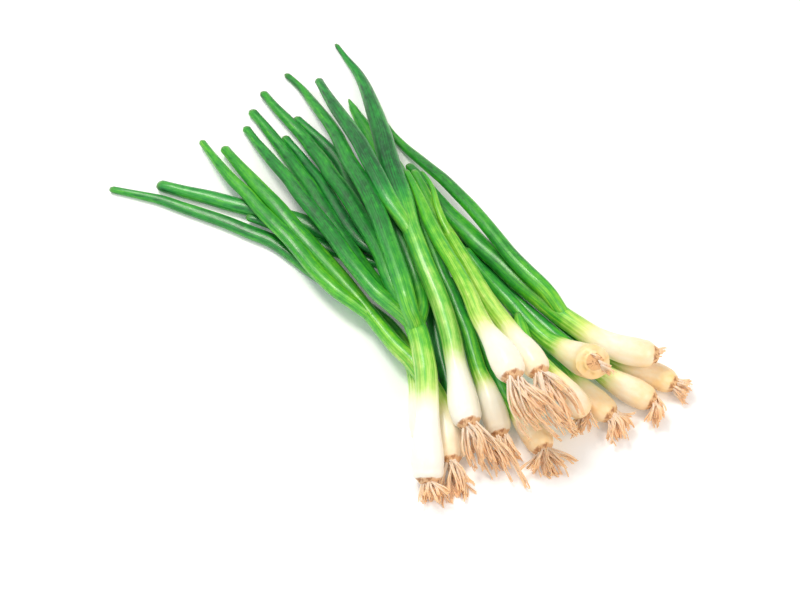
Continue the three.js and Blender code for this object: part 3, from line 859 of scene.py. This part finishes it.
@dataclass(frozen=True)
class RootFinish:
    """The dry skin of root plates and roots.

    Attributes:
        name: the material's name.
        base: colour where a root leaves the plate.
        middle: colour half way.
        tip: colour at its end.
        soil: colour of the stained spots.
        roughness: of the dry skin.
        fine_scale: how fine its grain is, for each metre.
        broad_scale: how fine its changes of colour are, for each metre.
        colour_swing: how far they turn the colour.
        soil_edges: values of the grain between which the stains set in.
        soil_share: how much they show.
        roughness_swing: how much the grain roughens the skin.
        relief: height of the grain's bump.
        relief_strength: how much of it shows.
        subsurface: how much light passes under the skin.
        light_reach: how far red, green and blue light pass under it.
    """

    name: str
    base: str
    middle: str
    tip: str
    soil: str
    roughness: float
    fine_scale: float = 900.0
    broad_scale: float = 170.0
    colour_swing: float = 0.8
    soil_edges: Span = (0.55, 0.75)
    soil_share: float = 0.25
    roughness_swing: float = 0.2
    relief: float = 0.3 * MM
    relief_strength: float = 0.5
    subsurface: float = 0.2
    light_reach: tuple[float, float, float] = (3.0 * MM, 2.0 * MM, 1.0 * MM)

    def material(self) -> bpy.types.Material:
        """Builds the material from the roots' own attribute.

        Returns:
            The material.
        """
        graph = Graph(self.name)
        along = graph.value(graph.attribute("along").outputs["Fac"])
        place = graph.node("ShaderNodeTexCoord").outputs["Object"]
        fine = graph.noise(place, (self.fine_scale,) * 3)
        broad = graph.noise(place, (self.broad_scale,) * 3, shift=5.0)
        stops = [(0.0, shade_of(self.base)), (0.5, shade_of(self.middle)), (1.0, shade_of(self.tip))]
        body = graph.ramp((along + (broad - 0.5) * self.colour_swing).clamped(), stops)
        stain = fine.above(*self.soil_edges) * self.soil_share
        relief = {"Height": fine, "Distance": self.relief, "Strength": self.relief_strength}
        bump = graph.node("ShaderNodeBump", {}, relief)
        return graph.surface(
            {
                "Base Color": graph.mix(stain, body, shade_of(self.soil)),
                "Roughness": self.roughness + (fine - 0.5) * self.roughness_swing,
                "Normal": bump.outputs[0],
                "Subsurface Weight": self.subsurface,
                "Subsurface Radius": self.light_reach,
                "Subsurface Scale": 1.0,
            }
        )


PLANT = PlantFinish(
    name="onion_skin",
    yellow_stops=(
        (0.0, "fefdf2"),
        (0.12, "f6f9cc"),
        (0.28, "cdec74"),
        (0.46, "8ed838"),
        (0.62, "56bd26"),
        (0.8, "269a22"),
        (1.0, "0a5614"),
    ),
    blue_stops=(
        (0.0, "fefef6"),
        (0.12, "f0f9d4"),
        (0.28, "b6e67e"),
        (0.46, "66ca4a"),
        (0.62, "31ac42"),
        (0.8, "0f923a"),
        (1.0, "045426"),
    ),
    cream="ffd692",
    tan_to=26 * MM,
    plate="e2b07c",
    scar="a5683c",
    shadow="083c12",
    dried="6f9a4a",
    bloom="84dc9a",
    bloom_share=0.3,
    vein_depth=0.42,
    roughness=0.20,
    coat=0.22,
    coat_roughness=0.2,
    subsurface=0.12,
    relief=0.2 * MM,
)

ROOT = RootFinish(
    name="onion_root",
    base="ffe9d0",
    middle="ffddb8",
    tip="fdcb9b",
    soil="c48450",
    roughness=0.75,
)


# Waves round a tube: height, number round the tube, and turns with its length in radians a metre.
BULB_RIBS = ((0.010, 5, 40), (0.006, 11, -25), (0.012, 2, 60))
PLATE_LUMPS = ((0.05, 6, 2600),)
LEAF_FACETS = ((0.022, 3, 30), (0.010, 7, -18))
# Distances between which the waves set in or fade.
MOUTH_SMOOTH = (4.0 * MM, 22.0 * MM)
PLATE_LUMPY = (2.0 * MM, 4.5 * MM)
LEAF_ROUND = (9.0 * MM, 34.0 * MM)
LEAF_PINCHED = 9.0 * MM
# How much a leaf is flattened, how much more at its cut end, and how much wider that end gets.
LEAF_FLAT = 0.05
END_FLAT = 0.36
END_WIDE = 0.10
LEAF_OVERLAP = 1.004


def waves(
    kinds: tuple[tuple[float, int, float], ...], turn: np.ndarray, along: np.ndarray
) -> np.ndarray:
    """Adds up waves that run round and along a tube."""
    return sum(height * np.sin(count * turn + twist * along) for height, count, twist in kinds)


def bulb_outline(
    turn: np.ndarray, along: np.ndarray, since: np.ndarray, left: np.ndarray
) -> np.ndarray:
    """Shallow uneven ribs round a bulb and stalk, smooth at the mouth and lumpy on the root plate.

    Args:
        turn: angles round the tube.
        along: distances from the root plate.
        since: distances from the tube's start.
        left: distances from its end.

    Returns:
        Factors on the tube's radius.
    """
    ribs = waves(BULB_RIBS, turn, along) * smooth_step(*MOUTH_SMOOTH, left)
    return 1 + ribs + waves(PLATE_LUMPS, turn, along) * (1 - smooth_step(*PLATE_LUMPY, since))


def leaf_outline(
    turn: np.ndarray, along: np.ndarray, since: np.ndarray, left: np.ndarray
) -> np.ndarray:
    """A leaf's slightly flattened tube with soft facets, round at first and pinched at its cut end.

    Args:
        turn: angles round the tube.
        along: distances from the root plate.
        since: distances from the tube's start.
        left: distances from its end.

    Returns:
        Factors on the tube's radius.
    """
    pinch = 1 - smooth_step(0.0, LEAF_PINCHED, left)
    flat = END_WIDE * pinch - (LEAF_FLAT + END_FLAT * pinch) * np.sin(turn) ** 2
    return LEAF_OVERLAP + (flat + waves(LEAF_FACETS, turn, along)) * smooth_step(*LEAF_ROUND, since)


@dataclass
class SpringOnion:
    """One onion: its bulb and stalk, its leaves and its roots.

    Attributes:
        number: its place in the names of the CAD nodes.
        growth: how it is coloured.
        sides_of_cad: vertices in each ring of the CAD stalks and leaves.
        root_sides_of_cad: vertices in each ring of the CAD roots.
        stalk_sides: vertices in each ring of the dressed stalk.
        leaf_sides: vertices in each ring of a dressed leaf.
        stalk_step: distance between a stalk's rings.
        leaf_step: distance between a leaf's rings.
        join_step: distance between the rings that join a leaf to the mouth.
        blush_share: share of the stalk's green that it has where its white ends.
        leafy_over: distance past the mouth over which the leaf's own green sets in.
        dry_over: length of a leaf's dried end.
        dryness: how dried out it is.
        fuller_between: shares of a leaf's length between which a fuller leaf thickens.
        point_length: length over which a fuller leaf comes to its point.
        flat_from: distance from a leaf's start at which it begins to flatten.
        flat_full: distance at which it is flattest.
        flatness: how much wider than the CAD's round leaf it is there.
        tucked: how far a leaf reaches back into what it grows from.
        tucked_share: its radius there, as a share of the radius at the mouth.
        tucked_radius: radius of a leaf that is tucked in under the heap.
        tucked_depth: how green such a leaf is.
        inner_share: radius of an inner leaf at its start, as a share of the mouth's.
        inner_back: how far below the mouth an inner leaf starts.
        plate_dome: distance below the base and radius share of each ring of the root plate.
        mouth_end: distance past the mouth and radius share of the stalk's hidden end.
        mouth_slim: width of the mouth as a share of the CAD's.
        slim_between: shares of the stalk's length between which it slims.
        turned_over: length over which a bulb with an upturned plate bends to it.
        base_length: length over which the bulb's base is fuller than the CAD's.
        rooted_radius: radius of the disc on which roots start, as a share of the base's.
        rooted_depth: how far below the base they start.
        fanned: how much the roots' distances from their middle line grow to their tips.
        guide_points: places in each guide line.
        guides_for_each: guide lines blended for each CAD root.
        kept_length: shortest and longest share of a guide that a root keeps.
    """

    number: int
    growth: Growth
    sides_of_cad: int = 8
    root_sides_of_cad: int = 3
    stalk_sides: int = 48
    leaf_sides: int = 32
    stalk_step: float = 1.2 * MM
    leaf_step: float = 2.0 * MM
    join_step: float = 5.0 * MM
    blush_share: float = 0.72
    leafy_over: float = 60.0 * MM
    dry_over: float = 4.0 * MM
    dryness: float = 0.6
    fuller_between: Span = (0.3, 0.8)
    point_length: float = 11.0 * MM
    flat_from: float = 12.0 * MM
    flat_full: float = 50.0 * MM
    flatness: float = 0.26
    tucked: float = 6.0 * MM
    tucked_share: float = 0.9
    tucked_radius: float = 5.2 * MM
    # tucked_depth: how green such a leaf is, deeper than the onion's own leaves: partly its own colour and
    # partly painted shade of the gap under the stalks.
    tucked_depth: float = 0.84
    inner_share: float = 0.72
    inner_back: float = 8.0 * MM
    plate_dome: tuple[tuple[float, float], ...] = (
        (2.4 * MM, 0.35),
        (2.1 * MM, 0.62),
        (1.4 * MM, 0.86),
        (0.6 * MM, 0.98),
    )
    mouth_end: tuple[tuple[float, float], ...] = (
        (0.7 * MM, 0.95),
        (1.5 * MM, 0.8),
        (2.1 * MM, 0.5),
    )
    mouth_slim: float = 0.93
    slim_between: Span = (0.5, 1.0)
    turned_over: float = 30.0 * MM
    base_length: float = 9.0 * MM
    rooted_radius: float = 1.05
    rooted_depth: float = 0.6 * MM
    fanned: float = 0.45
    guide_points: int = 9
    guides_for_each: int = 4
    kept_length: Span = (0.68, 1.02)
    stalk: Strand = field(init=False)
    leaves: list[Strand] = field(init=False)

    def __post_init__(self) -> None:
        """Reads the stalk and the leaves from the frame."""
        self.stalk = self._rings("shaft").strands(self.sides_of_cad, least=4)[0].forwards()
        reader = self._rings("leaves")
        mouth = self.stalk.centres[-1]
        tubes = [strand.forwards() for strand in reader.strands(self.sides_of_cad, least=3)]
        if not tubes:
            short = [strand.forwards() for strand in reader.strands(self.sides_of_cad, least=1)]
            tubes = [max(short, key=lambda strand: np.linalg.norm(strand.centres[-1] - mouth))]
        way = self.stalk.tangents()[-1]
        self.leaves = sorted(tubes, key=lambda strand: -self._aligned(strand, mouth, way))

    @staticmethod
    def _aligned(strand: Strand, mouth: np.ndarray, way: np.ndarray) -> float:
        """How well a leaf carries on from the stalk, 1 where it runs straight on."""
        gap = strand.centres[0] - mouth
        return float(gap @ way / np.linalg.norm(gap))

    def _rings(self, organ: str) -> NodeRings:
        """Returns the ring reader of one of the onion's CAD nodes."""
        return NodeRings(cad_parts[self.node(organ)])

    def node(self, organ: str) -> str:
        """Returns the name of one of the onion's CAD nodes."""
        return f"onion_{self.number:02d}_{organ}"

    def _green(self, along: np.ndarray) -> np.ndarray:
        """Works out how green the plant is.

        Args:
            along: distances from the root plate.

        Returns:
            The depth of green at each.
        """
        growth = self.growth
        length = self.stalk.along()[-1]
        blush = smooth_step(growth.white_to, growth.green_from, along)
        risen = smooth_step(growth.green_from, length, along)
        leafy = smooth_step(length, length + self.leafy_over, along)
        stalk = growth.stalk_depth * (self.blush_share * blush + (1 - self.blush_share) * risen)
        return stalk + (growth.leaf_depth - growth.stalk_depth) * leafy

    def build_stalk(self, material: bpy.types.Material) -> bpy.types.Object:
        """Builds the bulb and stalk, from the domed root plate to inside the first leaf.

        Args:
            material: what they are dressed in.

        Returns:
            The finished piece.
        """
        fine = self.stalk.fine(self.stalk_step)
        slimmed = smooth_step(*self.slim_between, fine.along() / fine.along()[-1])
        fine.radii *= 1 - (1 - self.mouth_slim) * slimmed
        facing = -fine.tangents()[0]
        if self.growth.plate_faces is not None:
            facing = np.array(self.growth.plate_faces)
            facing /= np.linalg.norm(facing)
            turned = (1 - smooth_step(0.0, self.turned_over, fine.along()))[:, None]
            straight = fine.centres[0] - facing * fine.along()[:, None]
            fine.centres = fine.centres * (1 - turned) + straight * turned
        ways = fine.tangents()
        below = [(fine.centres[0] + facing * off, fine.radii[0] * share) for off, share in self.plate_dome]
        above = [(fine.centres[-1] + ways[-1] * off, fine.radii[-1] * share) for off, share in self.mouth_end]
        centres = [place for place, _ in below] + list(fine.centres) + [place for place, _ in above]
        radii = [radius for _, radius in below] + list(fine.radii) + [radius for _, radius in above]
        whole = Strand(np.array(centres), np.array(radii))
        start = -self.plate_dome[0][0]
        along = whole.along() + start
        whole.radii *= 1 + self.growth.base_fullness * (1 - smooth_step(0.0, self.base_length, along))
        growth = self.growth
        skin = Skin(f"{self.node('shaft')}_skin")
        plate = 1 - smooth_step(*growth.plate_edge, along)
        tone = Tone(self._green(along), growth.hue.value, growth.warmth, plate)
        skin.add_tube(whole, self.stalk_sides, bulb_outline, start, tone)
        return self._placed(skin.finished(material), "shaft")

    def build_leaves(self, material: bpy.types.Material) -> bpy.types.Object:
        """Builds the leaves, each from inside the sheath mouth to its tip.

        Args:
            material: what they are dressed in.

        Returns:
            The finished piece.
        """
        skin = Skin(f"{self.node('leaves')}_skin")
        mouth = self.stalk.centres[-1]
        way = self.stalk.tangents()[-1]
        full = self.stalk.radii[-1] * self.mouth_slim
        length = self.stalk.along()[-1]
        for rank, leaf in enumerate(self.leaves):
            share, back = (1.0, 0.0) if rank == 0 else (self.inner_share, self.inner_back)
            led = leaf.led_from(mouth - way * back, way, full * share, self.join_step)
            root = Strand(
                np.vstack([led.centres[0] - way * self.tucked, led.centres]),
                np.concatenate([[full * share * self.tucked_share], led.radii]),
            )
            fine = root.fine(self.leaf_step)
            start = length - back - self.tucked
            along = fine.along() + start
            since, left = along - along[0], along[-1] - along
            pointed = smooth_step(0.0, self.point_length, left)
            upper = smooth_step(*self.fuller_between, since / since[-1]) * pointed
            fine.radii *= 1 + self.growth.leaf_fullness * upper
            dry = self.dryness * (1 - smooth_step(0.0, self.dry_over, left))
            belly = smooth_step(self.flat_from, self.flat_full, since)
            belly *= smooth_step(0.0, self.flat_full, left)
            tone = Tone(self._green(along), self.growth.hue.value, 0.0, dry)
            skin.add_tube(fine, self.leaf_sides, leaf_outline, start, tone, self.flatness * belly)
        for path in TUCKED_LEAVES.get(self.number, ()):
            centres = np.array(path) * MM
            lying = Strand(centres, np.full(len(centres), self.tucked_radius)).fine(self.leaf_step)
            rings = len(lying.centres)
            # A tucked leaf's deep green is partly its own colour and partly painted shade of the gap under
            # the stalks.
            tone = Tone(np.full(rings, self.tucked_depth), LeafHue.DEEP.value, 0.0, np.zeros(rings))
            skin.add_tube(lying, self.leaf_sides, leaf_outline, length, tone)
        return self._placed(skin.finished(material), "leaves")

    def build_roots(self, tree: "RootTree", material: bpy.types.Material) -> bpy.types.Object:
        """Builds the root plate's tuft: strands blended from the CAD roots.

        Args:
            tree: grows the roots along their guide lines.
            material: what they are dressed in.

        Returns:
            The finished piece.
        """
        base = self.stalk.centres[0]
        outward = -self.stalk.tangents()[0]
        across, upward = cross_axes(outward)
        disc = self.stalk.radii[0] * self.rooted_radius
        draw = np.random.default_rng(self.number)
        frames = []
        for guide in self._rings("roots").strands(self.root_sides_of_cad, least=2):
            centres = guide.centres
            if np.linalg.norm(centres[0] - base) > np.linalg.norm(centres[-1] - base):
                centres = centres[::-1]
            line = np.vstack([base, centres])
            at = Strand(line, np.ones(len(line))).along()
            wanted = np.linspace(0, at[-1], self.guide_points)
            frames.append(np.column_stack([np.interp(wanted, at, line[:, axis]) for axis in range(3)]))
        lines = []
        places = np.linspace(0, 1, self.guide_points)
        stretch = np.array([self.growth.root_reach, self.growth.root_reach, 1.0])
        for _ in range(self.guides_for_each * len(frames)):
            first, second = draw.integers(len(frames), size=2)
            share = draw.random()
            blend = frames[first] * (1 - share) + frames[second] * share
            kept = places * draw.uniform(*self.kept_length)
            line = np.column_stack([np.interp(kept, places, blend[:, axis]) for axis in range(3)])
            angle = draw.uniform(0, 2 * np.pi)
            off = disc * math.sqrt(draw.random()) * (across * np.cos(angle) + upward * np.sin(angle))
            fan = 1 + self.fanned * places[:, None]
            lines.append(base + outward * self.rooted_depth + (line - base) * stretch + off * fan)
        tuft = tree.grown(f"{self.node('roots')}_tuft", lines, self.number, material)
        return self._placed(tuft, "roots")

    def _placed(self, piece: bpy.types.Object, organ: str) -> bpy.types.Object:
        """Ties a piece to the frame in the place of one of the onion's CAD nodes.

        Args:
            piece: the piece.
            organ: which of the onion's nodes it stands for.

        Returns:
            The piece.
        """
        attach(piece, "root")
        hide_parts(self.node(organ))
        LOG.info("%s: %d faces", piece.name, len(piece.data.polygons))
        return piece


class RootTree(NodeTree):
    """A geometry node tree that grows a tuft of thin roots along guide lines.

    Attributes:
        places: places on each root's line.
        sides: vertices in each ring of a root.
        curl: how fine the roots' straying is, for each metre.
        curl_rise: power by which it grows along a root.
        apart: how far apart two roots are in its pattern.
        taper: share of its thickness that a root loses to its tip.
        thinnest: thickness factor of the thinnest roots.
        thickest: thickness factor of the thickest.
    """

    places = 12
    sides = 5
    curl = 60.0
    curl_rise = 0.8
    apart = 3.7
    taper = 0.42
    thinnest = 0.5
    thickest = 1.15

    def __init__(self) -> None:
        """Builds the tree with its named inputs."""
        super().__init__(bpy.data.node_groups.new("root_tuft", "GeometryNodeTree"))
        side = self.tree.interface
        side.new_socket("Guides", in_out="INPUT", socket_type="NodeSocketGeometry")
        for name, kind, start in (
            ("Copies", "NodeSocketInt", 3),
            ("Thickness", "NodeSocketFloat", 0.7 * MM),
            ("Stray", "NodeSocketFloat", 6.5 * MM),
            ("Seed", "NodeSocketInt", 1),
        ):
            side.new_socket(name, in_out="INPUT", socket_type=kind).default_value = start
        side.new_socket("Material", in_out="INPUT", socket_type="NodeSocketMaterial")
        side.new_socket("Roots", in_out="OUTPUT", socket_type="NodeSocketGeometry")
        given = self.node("NodeGroupInput").outputs
        self._wire_surface(given, self._wire_lines(given))

    def _first(
        self, kind: str, settings: dict[str, Setting], inputs: dict[str | int, object]
    ) -> bpy.types.NodeSocket:
        """Adds a node and returns its first output."""
        return self.node(kind, settings, inputs).outputs[0]

    def _vector(self, operation: str, inputs: dict[str | int, object]) -> bpy.types.NodeSocket:
        """Adds a Vector Math node and returns its vector."""
        return self._first("ShaderNodeVectorMath", {"operation": operation}, inputs)

    def _stored(
        self, geometry: bpy.types.NodeSocket, domain: str, name: str, value: bpy.types.NodeSocket
    ) -> bpy.types.NodeSocket:
        """Stores a number as an attribute of the curves and returns them."""
        return self._first(
            "GeometryNodeStoreNamedAttribute",
            {"data_type": "FLOAT", "domain": domain},
            {"Geometry": geometry, "Name": name, "Value": value},
        )

    def _number(self) -> Value:
        """Reads each root's own number."""
        named = self._first("GeometryNodeInputNamedAttribute", {"data_type": "FLOAT"}, {"Name": "order"})
        return self.value(named)

    def _wire_lines(self, given: bpy.types.NodeOutputs) -> bpy.types.NodeSocket:
        """Joins the nodes that copy the guides and let the copies stray.

        Args:
            given: the tree's inputs.

        Returns:
            The roots' lines, none of them below the floor.
        """
        curves = self._first("GeometryNodeMeshToCurve", {}, {"Mesh": given["Guides"]})
        count = {"Curve": curves, "Count": self.places}
        even = self._first("GeometryNodeResampleCurve", {"mode": "COUNT"}, count)
        amount = {"Geometry": even, "Amount": given["Copies"]}
        copied = self._first("GeometryNodeDuplicateElements", {"domain": "SPLINE"}, amount)
        factor = self.node("GeometryNodeSplineParameter").outputs["Factor"]
        kept = self._stored(copied, "POINT", "along", factor)
        numbered = self._stored(kept, "CURVE", "order", self.node("GeometryNodeInputIndex").outputs[0])
        place = self.node("GeometryNodeInputPosition").outputs[0]
        swirl = self.node(
            "ShaderNodeTexNoise",
            {"noise_dimensions": "4D"},
            {
                "Vector": self._vector("SCALE", {0: place, "Scale": self.curl}),
                "W": self._number() * self.apart + given["Seed"],
                "Scale": 1.0,
                "Detail": 1.0,
            },
        )
        centred = self._vector("SUBTRACT", {0: swirl.outputs[1], 1: (0.5, 0.5, 0.5)})
        reach = self.value(factor) ** self.curl_rise * given["Stray"]
        strayed = self._vector("SCALE", {0: centred, "Scale": reach})
        loose = self._first("GeometryNodeSetPosition", {}, {"Geometry": numbered, "Offset": strayed})
        parts = self.node("ShaderNodeSeparateXYZ", {}, {0: place}).outputs
        lifted = self.value(parts[2]).at_least(given["Thickness"])
        over = self._first("ShaderNodeCombineXYZ", {}, {0: parts[0], 1: parts[1], 2: lifted})
        return self._first("GeometryNodeSetPosition", {}, {"Geometry": loose, "Position": over})

    def _wire_surface(self, given: bpy.types.NodeOutputs, lines: bpy.types.NodeSocket) -> None:
        """Joins the nodes that give the roots' lines a tapered surface and a material.

        Args:
            given: the tree's inputs.
            lines: the roots' lines.
        """
        along = self.value(self.node("GeometryNodeSplineParameter").outputs["Factor"])
        random = self.node(
            "FunctionNodeRandomValue",
            {"data_type": "FLOAT"},
            {2: self.thinnest, 3: self.thickest, "ID": self._number(), "Seed": given["Seed"]},
        )
        radius = (1 - along * self.taper) * self.value(random.outputs[1]) * given["Thickness"]
        ring = {"Resolution": self.sides, "Radius": 1.0}
        circle = self._first("GeometryNodeCurvePrimitiveCircle", {"mode": "RADIUS"}, ring)
        tube = {"Curve": lines, "Profile Curve": circle, "Scale": radius, "Fill Caps": True}
        tubes = self._first("GeometryNodeCurveToMesh", {}, tube)
        real = self._first("GeometryNodeRealizeInstances", {}, {"Geometry": tubes})
        dressed = {"Geometry": real, "Material": given["Material"]}
        self.node("NodeGroupOutput", {}, {0: self._first("GeometryNodeSetMaterial", {}, dressed)})

    def grown(
        self,
        name: str,
        lines: list[np.ndarray],
        seed: int,
        material: bpy.types.Material,
    ) -> bpy.types.Object:
        """Grows one tuft and bakes it to a plain mesh.

        Args:
            name: the piece's name.
            lines: the guide lines, root plate end first.
            seed: what the stray and thickness are drawn from.
            material: what the roots are dressed in.

        Returns:
            The tuft's object.
        """
        points: list[list[float]] = []
        edges: list[tuple[int, int]] = []
        for line in lines:
            start = len(points)
            points.extend(line.tolist())
            edges.extend((at, at + 1) for at in range(start, start + len(line) - 1))
        guide = bpy.data.meshes.new(f"{name}_guides")
        guide.from_pydata(points, edges, [])
        grower = bpy.data.objects.new(f"{name}_grower", guide)
        bpy.context.scene.collection.objects.link(grower)
        modifier = grower.modifiers.new("tuft", "NODES")
        modifier.node_group = self.tree
        keys = {item.name: item.identifier for item in self.tree.interface.items_tree}
        modifier[keys["Seed"]] = seed
        modifier[keys["Material"]] = material
        ready = grower.evaluated_get(bpy.context.evaluated_depsgraph_get())
        mesh = bpy.data.meshes.new_from_object(ready)
        mesh.name = name
        mesh.shade_smooth()
        tuft = bpy.data.objects.new(name, mesh)
        bpy.context.scene.collection.objects.link(tuft)
        grower.modifiers.remove(modifier)
        bpy.data.objects.remove(grower)
        return tuft


@dataclass(frozen=True)
class Lamp:
    """A soft square light.

    Attributes:
        name: its name.
        compass: degrees to the right of the camera.
        elevation: degrees above the floor.
        size: side of the square.
        power: in watts.
        colour: screen colour code.
    """

    name: str
    compass: float
    elevation: float
    size: float
    power: float
    colour: str


@dataclass
class Studio:
    """The floor, the soft lights and the camera.

    Attributes:
        compass: direction in which the camera looks, turned from +Y about +Z, in degrees.
        elevation: how far the camera looks down, in degrees.
        distance: from the camera to the place on the floor that it looks at.
        aim: that place.
        lens: focal length in millimetres.
        sensor: width of the picture behind the lens, in millimetres.
        floor_half: half of the floor's side.
        floor_gap: how far the floor lies below the part.
        floor_colour: its colour.
        floor_glow: strength of the light it gives by itself.
        sky_colour: colour of the surroundings.
        sky_strength: how bright they are.
        lamp_distance: from each light to the aim.
        lamps: the lights.
    """

    compass: float = -126.0
    elevation: float = 55.0
    distance: float = 0.860
    aim: tuple[float, float, float] = (-0.02310, -0.00021, 0.0)
    lens: float = 60.0
    sensor: float = 36.0
    floor_half: float = 4.0
    floor_gap: float = 0.2 * MM
    floor_colour: Colour = (0.95, 0.95, 0.955, 1.0)
    floor_glow: float = 0.1
    sky_colour: Colour = (0.97, 0.985, 1.0, 1.0)
    sky_strength: float = 0.5
    lamp_distance: float = 1.6
    lamps: tuple[Lamp, ...] = (
        Lamp("key", -135.0, 62.0, 0.45, 15.0, "fffaf2"),
        Lamp("front", 48.0, 45.0, 0.8, 9.5, "fff4e4"),
        Lamp("fill", -60.0, 40.0, 1.2, 3.5, "e2f5ff"),
    )

    def towards(self, compass: float, elevation: float, distance: float) -> Vector:
        """Gives a place seen from the aim in a direction that is turned with the camera.

        Args:
            compass: degrees to the right of the camera's own side.
            elevation: degrees above the floor.
            distance: from the aim.

        Returns:
            The place.
        """
        turned = math.radians(self.compass + compass)
        raised = math.radians(elevation)
        back = Vector(
            (
                math.sin(turned) * math.cos(raised),
                -math.cos(turned) * math.cos(raised),
                math.sin(raised),
            )
        )
        return Vector(self.aim) + back * distance

    def _hang(self, thing: bpy.types.Object, place: Vector) -> None:
        """Hangs a camera or a light and turns it to the aim.

        Args:
            thing: the camera or light.
            place: where it hangs.
        """
        thing.location = place
        thing.rotation_euler = (Vector(self.aim) - place).to_track_quat("-Z", "Y").to_euler()
        bpy.context.scene.collection.objects.link(thing)

    def build_camera(self) -> None:
        """Places the camera at the photograph's angle."""
        data = bpy.data.cameras.new("camera")
        data.lens = self.lens
        data.sensor_width = self.sensor
        camera = bpy.data.objects.new("camera", data)
        self._hang(camera, self.towards(0.0, self.elevation, self.distance))
        bpy.context.scene.camera = camera

    def build_floor(self) -> None:
        """Lays a plain pale floor."""
        material = Graph("pale_floor").surface(
            {
                "Base Color": self.floor_colour,
                "Roughness": 0.9,
                "Emission Color": self.floor_colour,
                "Emission Strength": self.floor_glow,
            }
        )
        mesh = bpy.data.meshes.new("floor")
        half = self.floor_half
        corners = [(-half, -half, 0), (half, -half, 0), (half, half, 0), (-half, half, 0)]
        mesh.from_pydata(corners, [], [(0, 1, 2, 3)])
        mesh.materials.append(material)
        floor = bpy.data.objects.new("floor", mesh)
        floor.location.z = -self.floor_gap
        bpy.context.scene.collection.objects.link(floor)

    def build_lamp(self, lamp: Lamp) -> None:
        """Hangs one soft light.

        Args:
            lamp: what it is like.
        """
        data = bpy.data.lights.new(lamp.name, "AREA")
        data.shape = "SQUARE"
        data.size = lamp.size
        data.energy = lamp.power
        data.color = shade_of(lamp.colour)[:3]
        place = self.towards(lamp.compass, lamp.elevation, self.lamp_distance)
        self._hang(bpy.data.objects.new(lamp.name, data), place)

    def build_sky(self) -> None:
        """Fills the surroundings with even white light."""
        world = bpy.data.worlds.new("studio")
        world.use_nodes = True
        sky = world.node_tree.nodes["Background"]
        sky.inputs["Color"].default_value = self.sky_colour
        sky.inputs["Strength"].default_value = self.sky_strength
        bpy.context.scene.world = world

    def build(self) -> None:
        """Builds the whole studio."""
        self.build_camera()
        self.build_floor()
        self.build_sky()
        for lamp in self.lamps:
            self.build_lamp(lamp)
        bpy.context.scene.view_settings.view_transform = "Standard"


def main() -> None:
    """Builds the studio and every onion."""
    logging.basicConfig(level=logging.INFO, format="%(message)s")
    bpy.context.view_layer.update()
    Studio().build()
    plant = PLANT.material()
    root = ROOT.material()
    tree = RootTree()
    for number, growth in GROWTHS.items():
        onion = SpringOnion(number, growth)
        onion.build_stalk(plant)
        onion.build_leaves(plant)
        onion.build_roots(tree, root)


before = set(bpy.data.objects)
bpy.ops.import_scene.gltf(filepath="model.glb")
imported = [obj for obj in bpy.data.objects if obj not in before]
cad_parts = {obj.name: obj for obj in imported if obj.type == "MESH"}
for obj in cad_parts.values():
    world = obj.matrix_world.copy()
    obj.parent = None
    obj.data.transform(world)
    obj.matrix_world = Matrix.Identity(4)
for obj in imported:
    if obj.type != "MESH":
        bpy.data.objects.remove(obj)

if __name__ == "__main__":
    main()
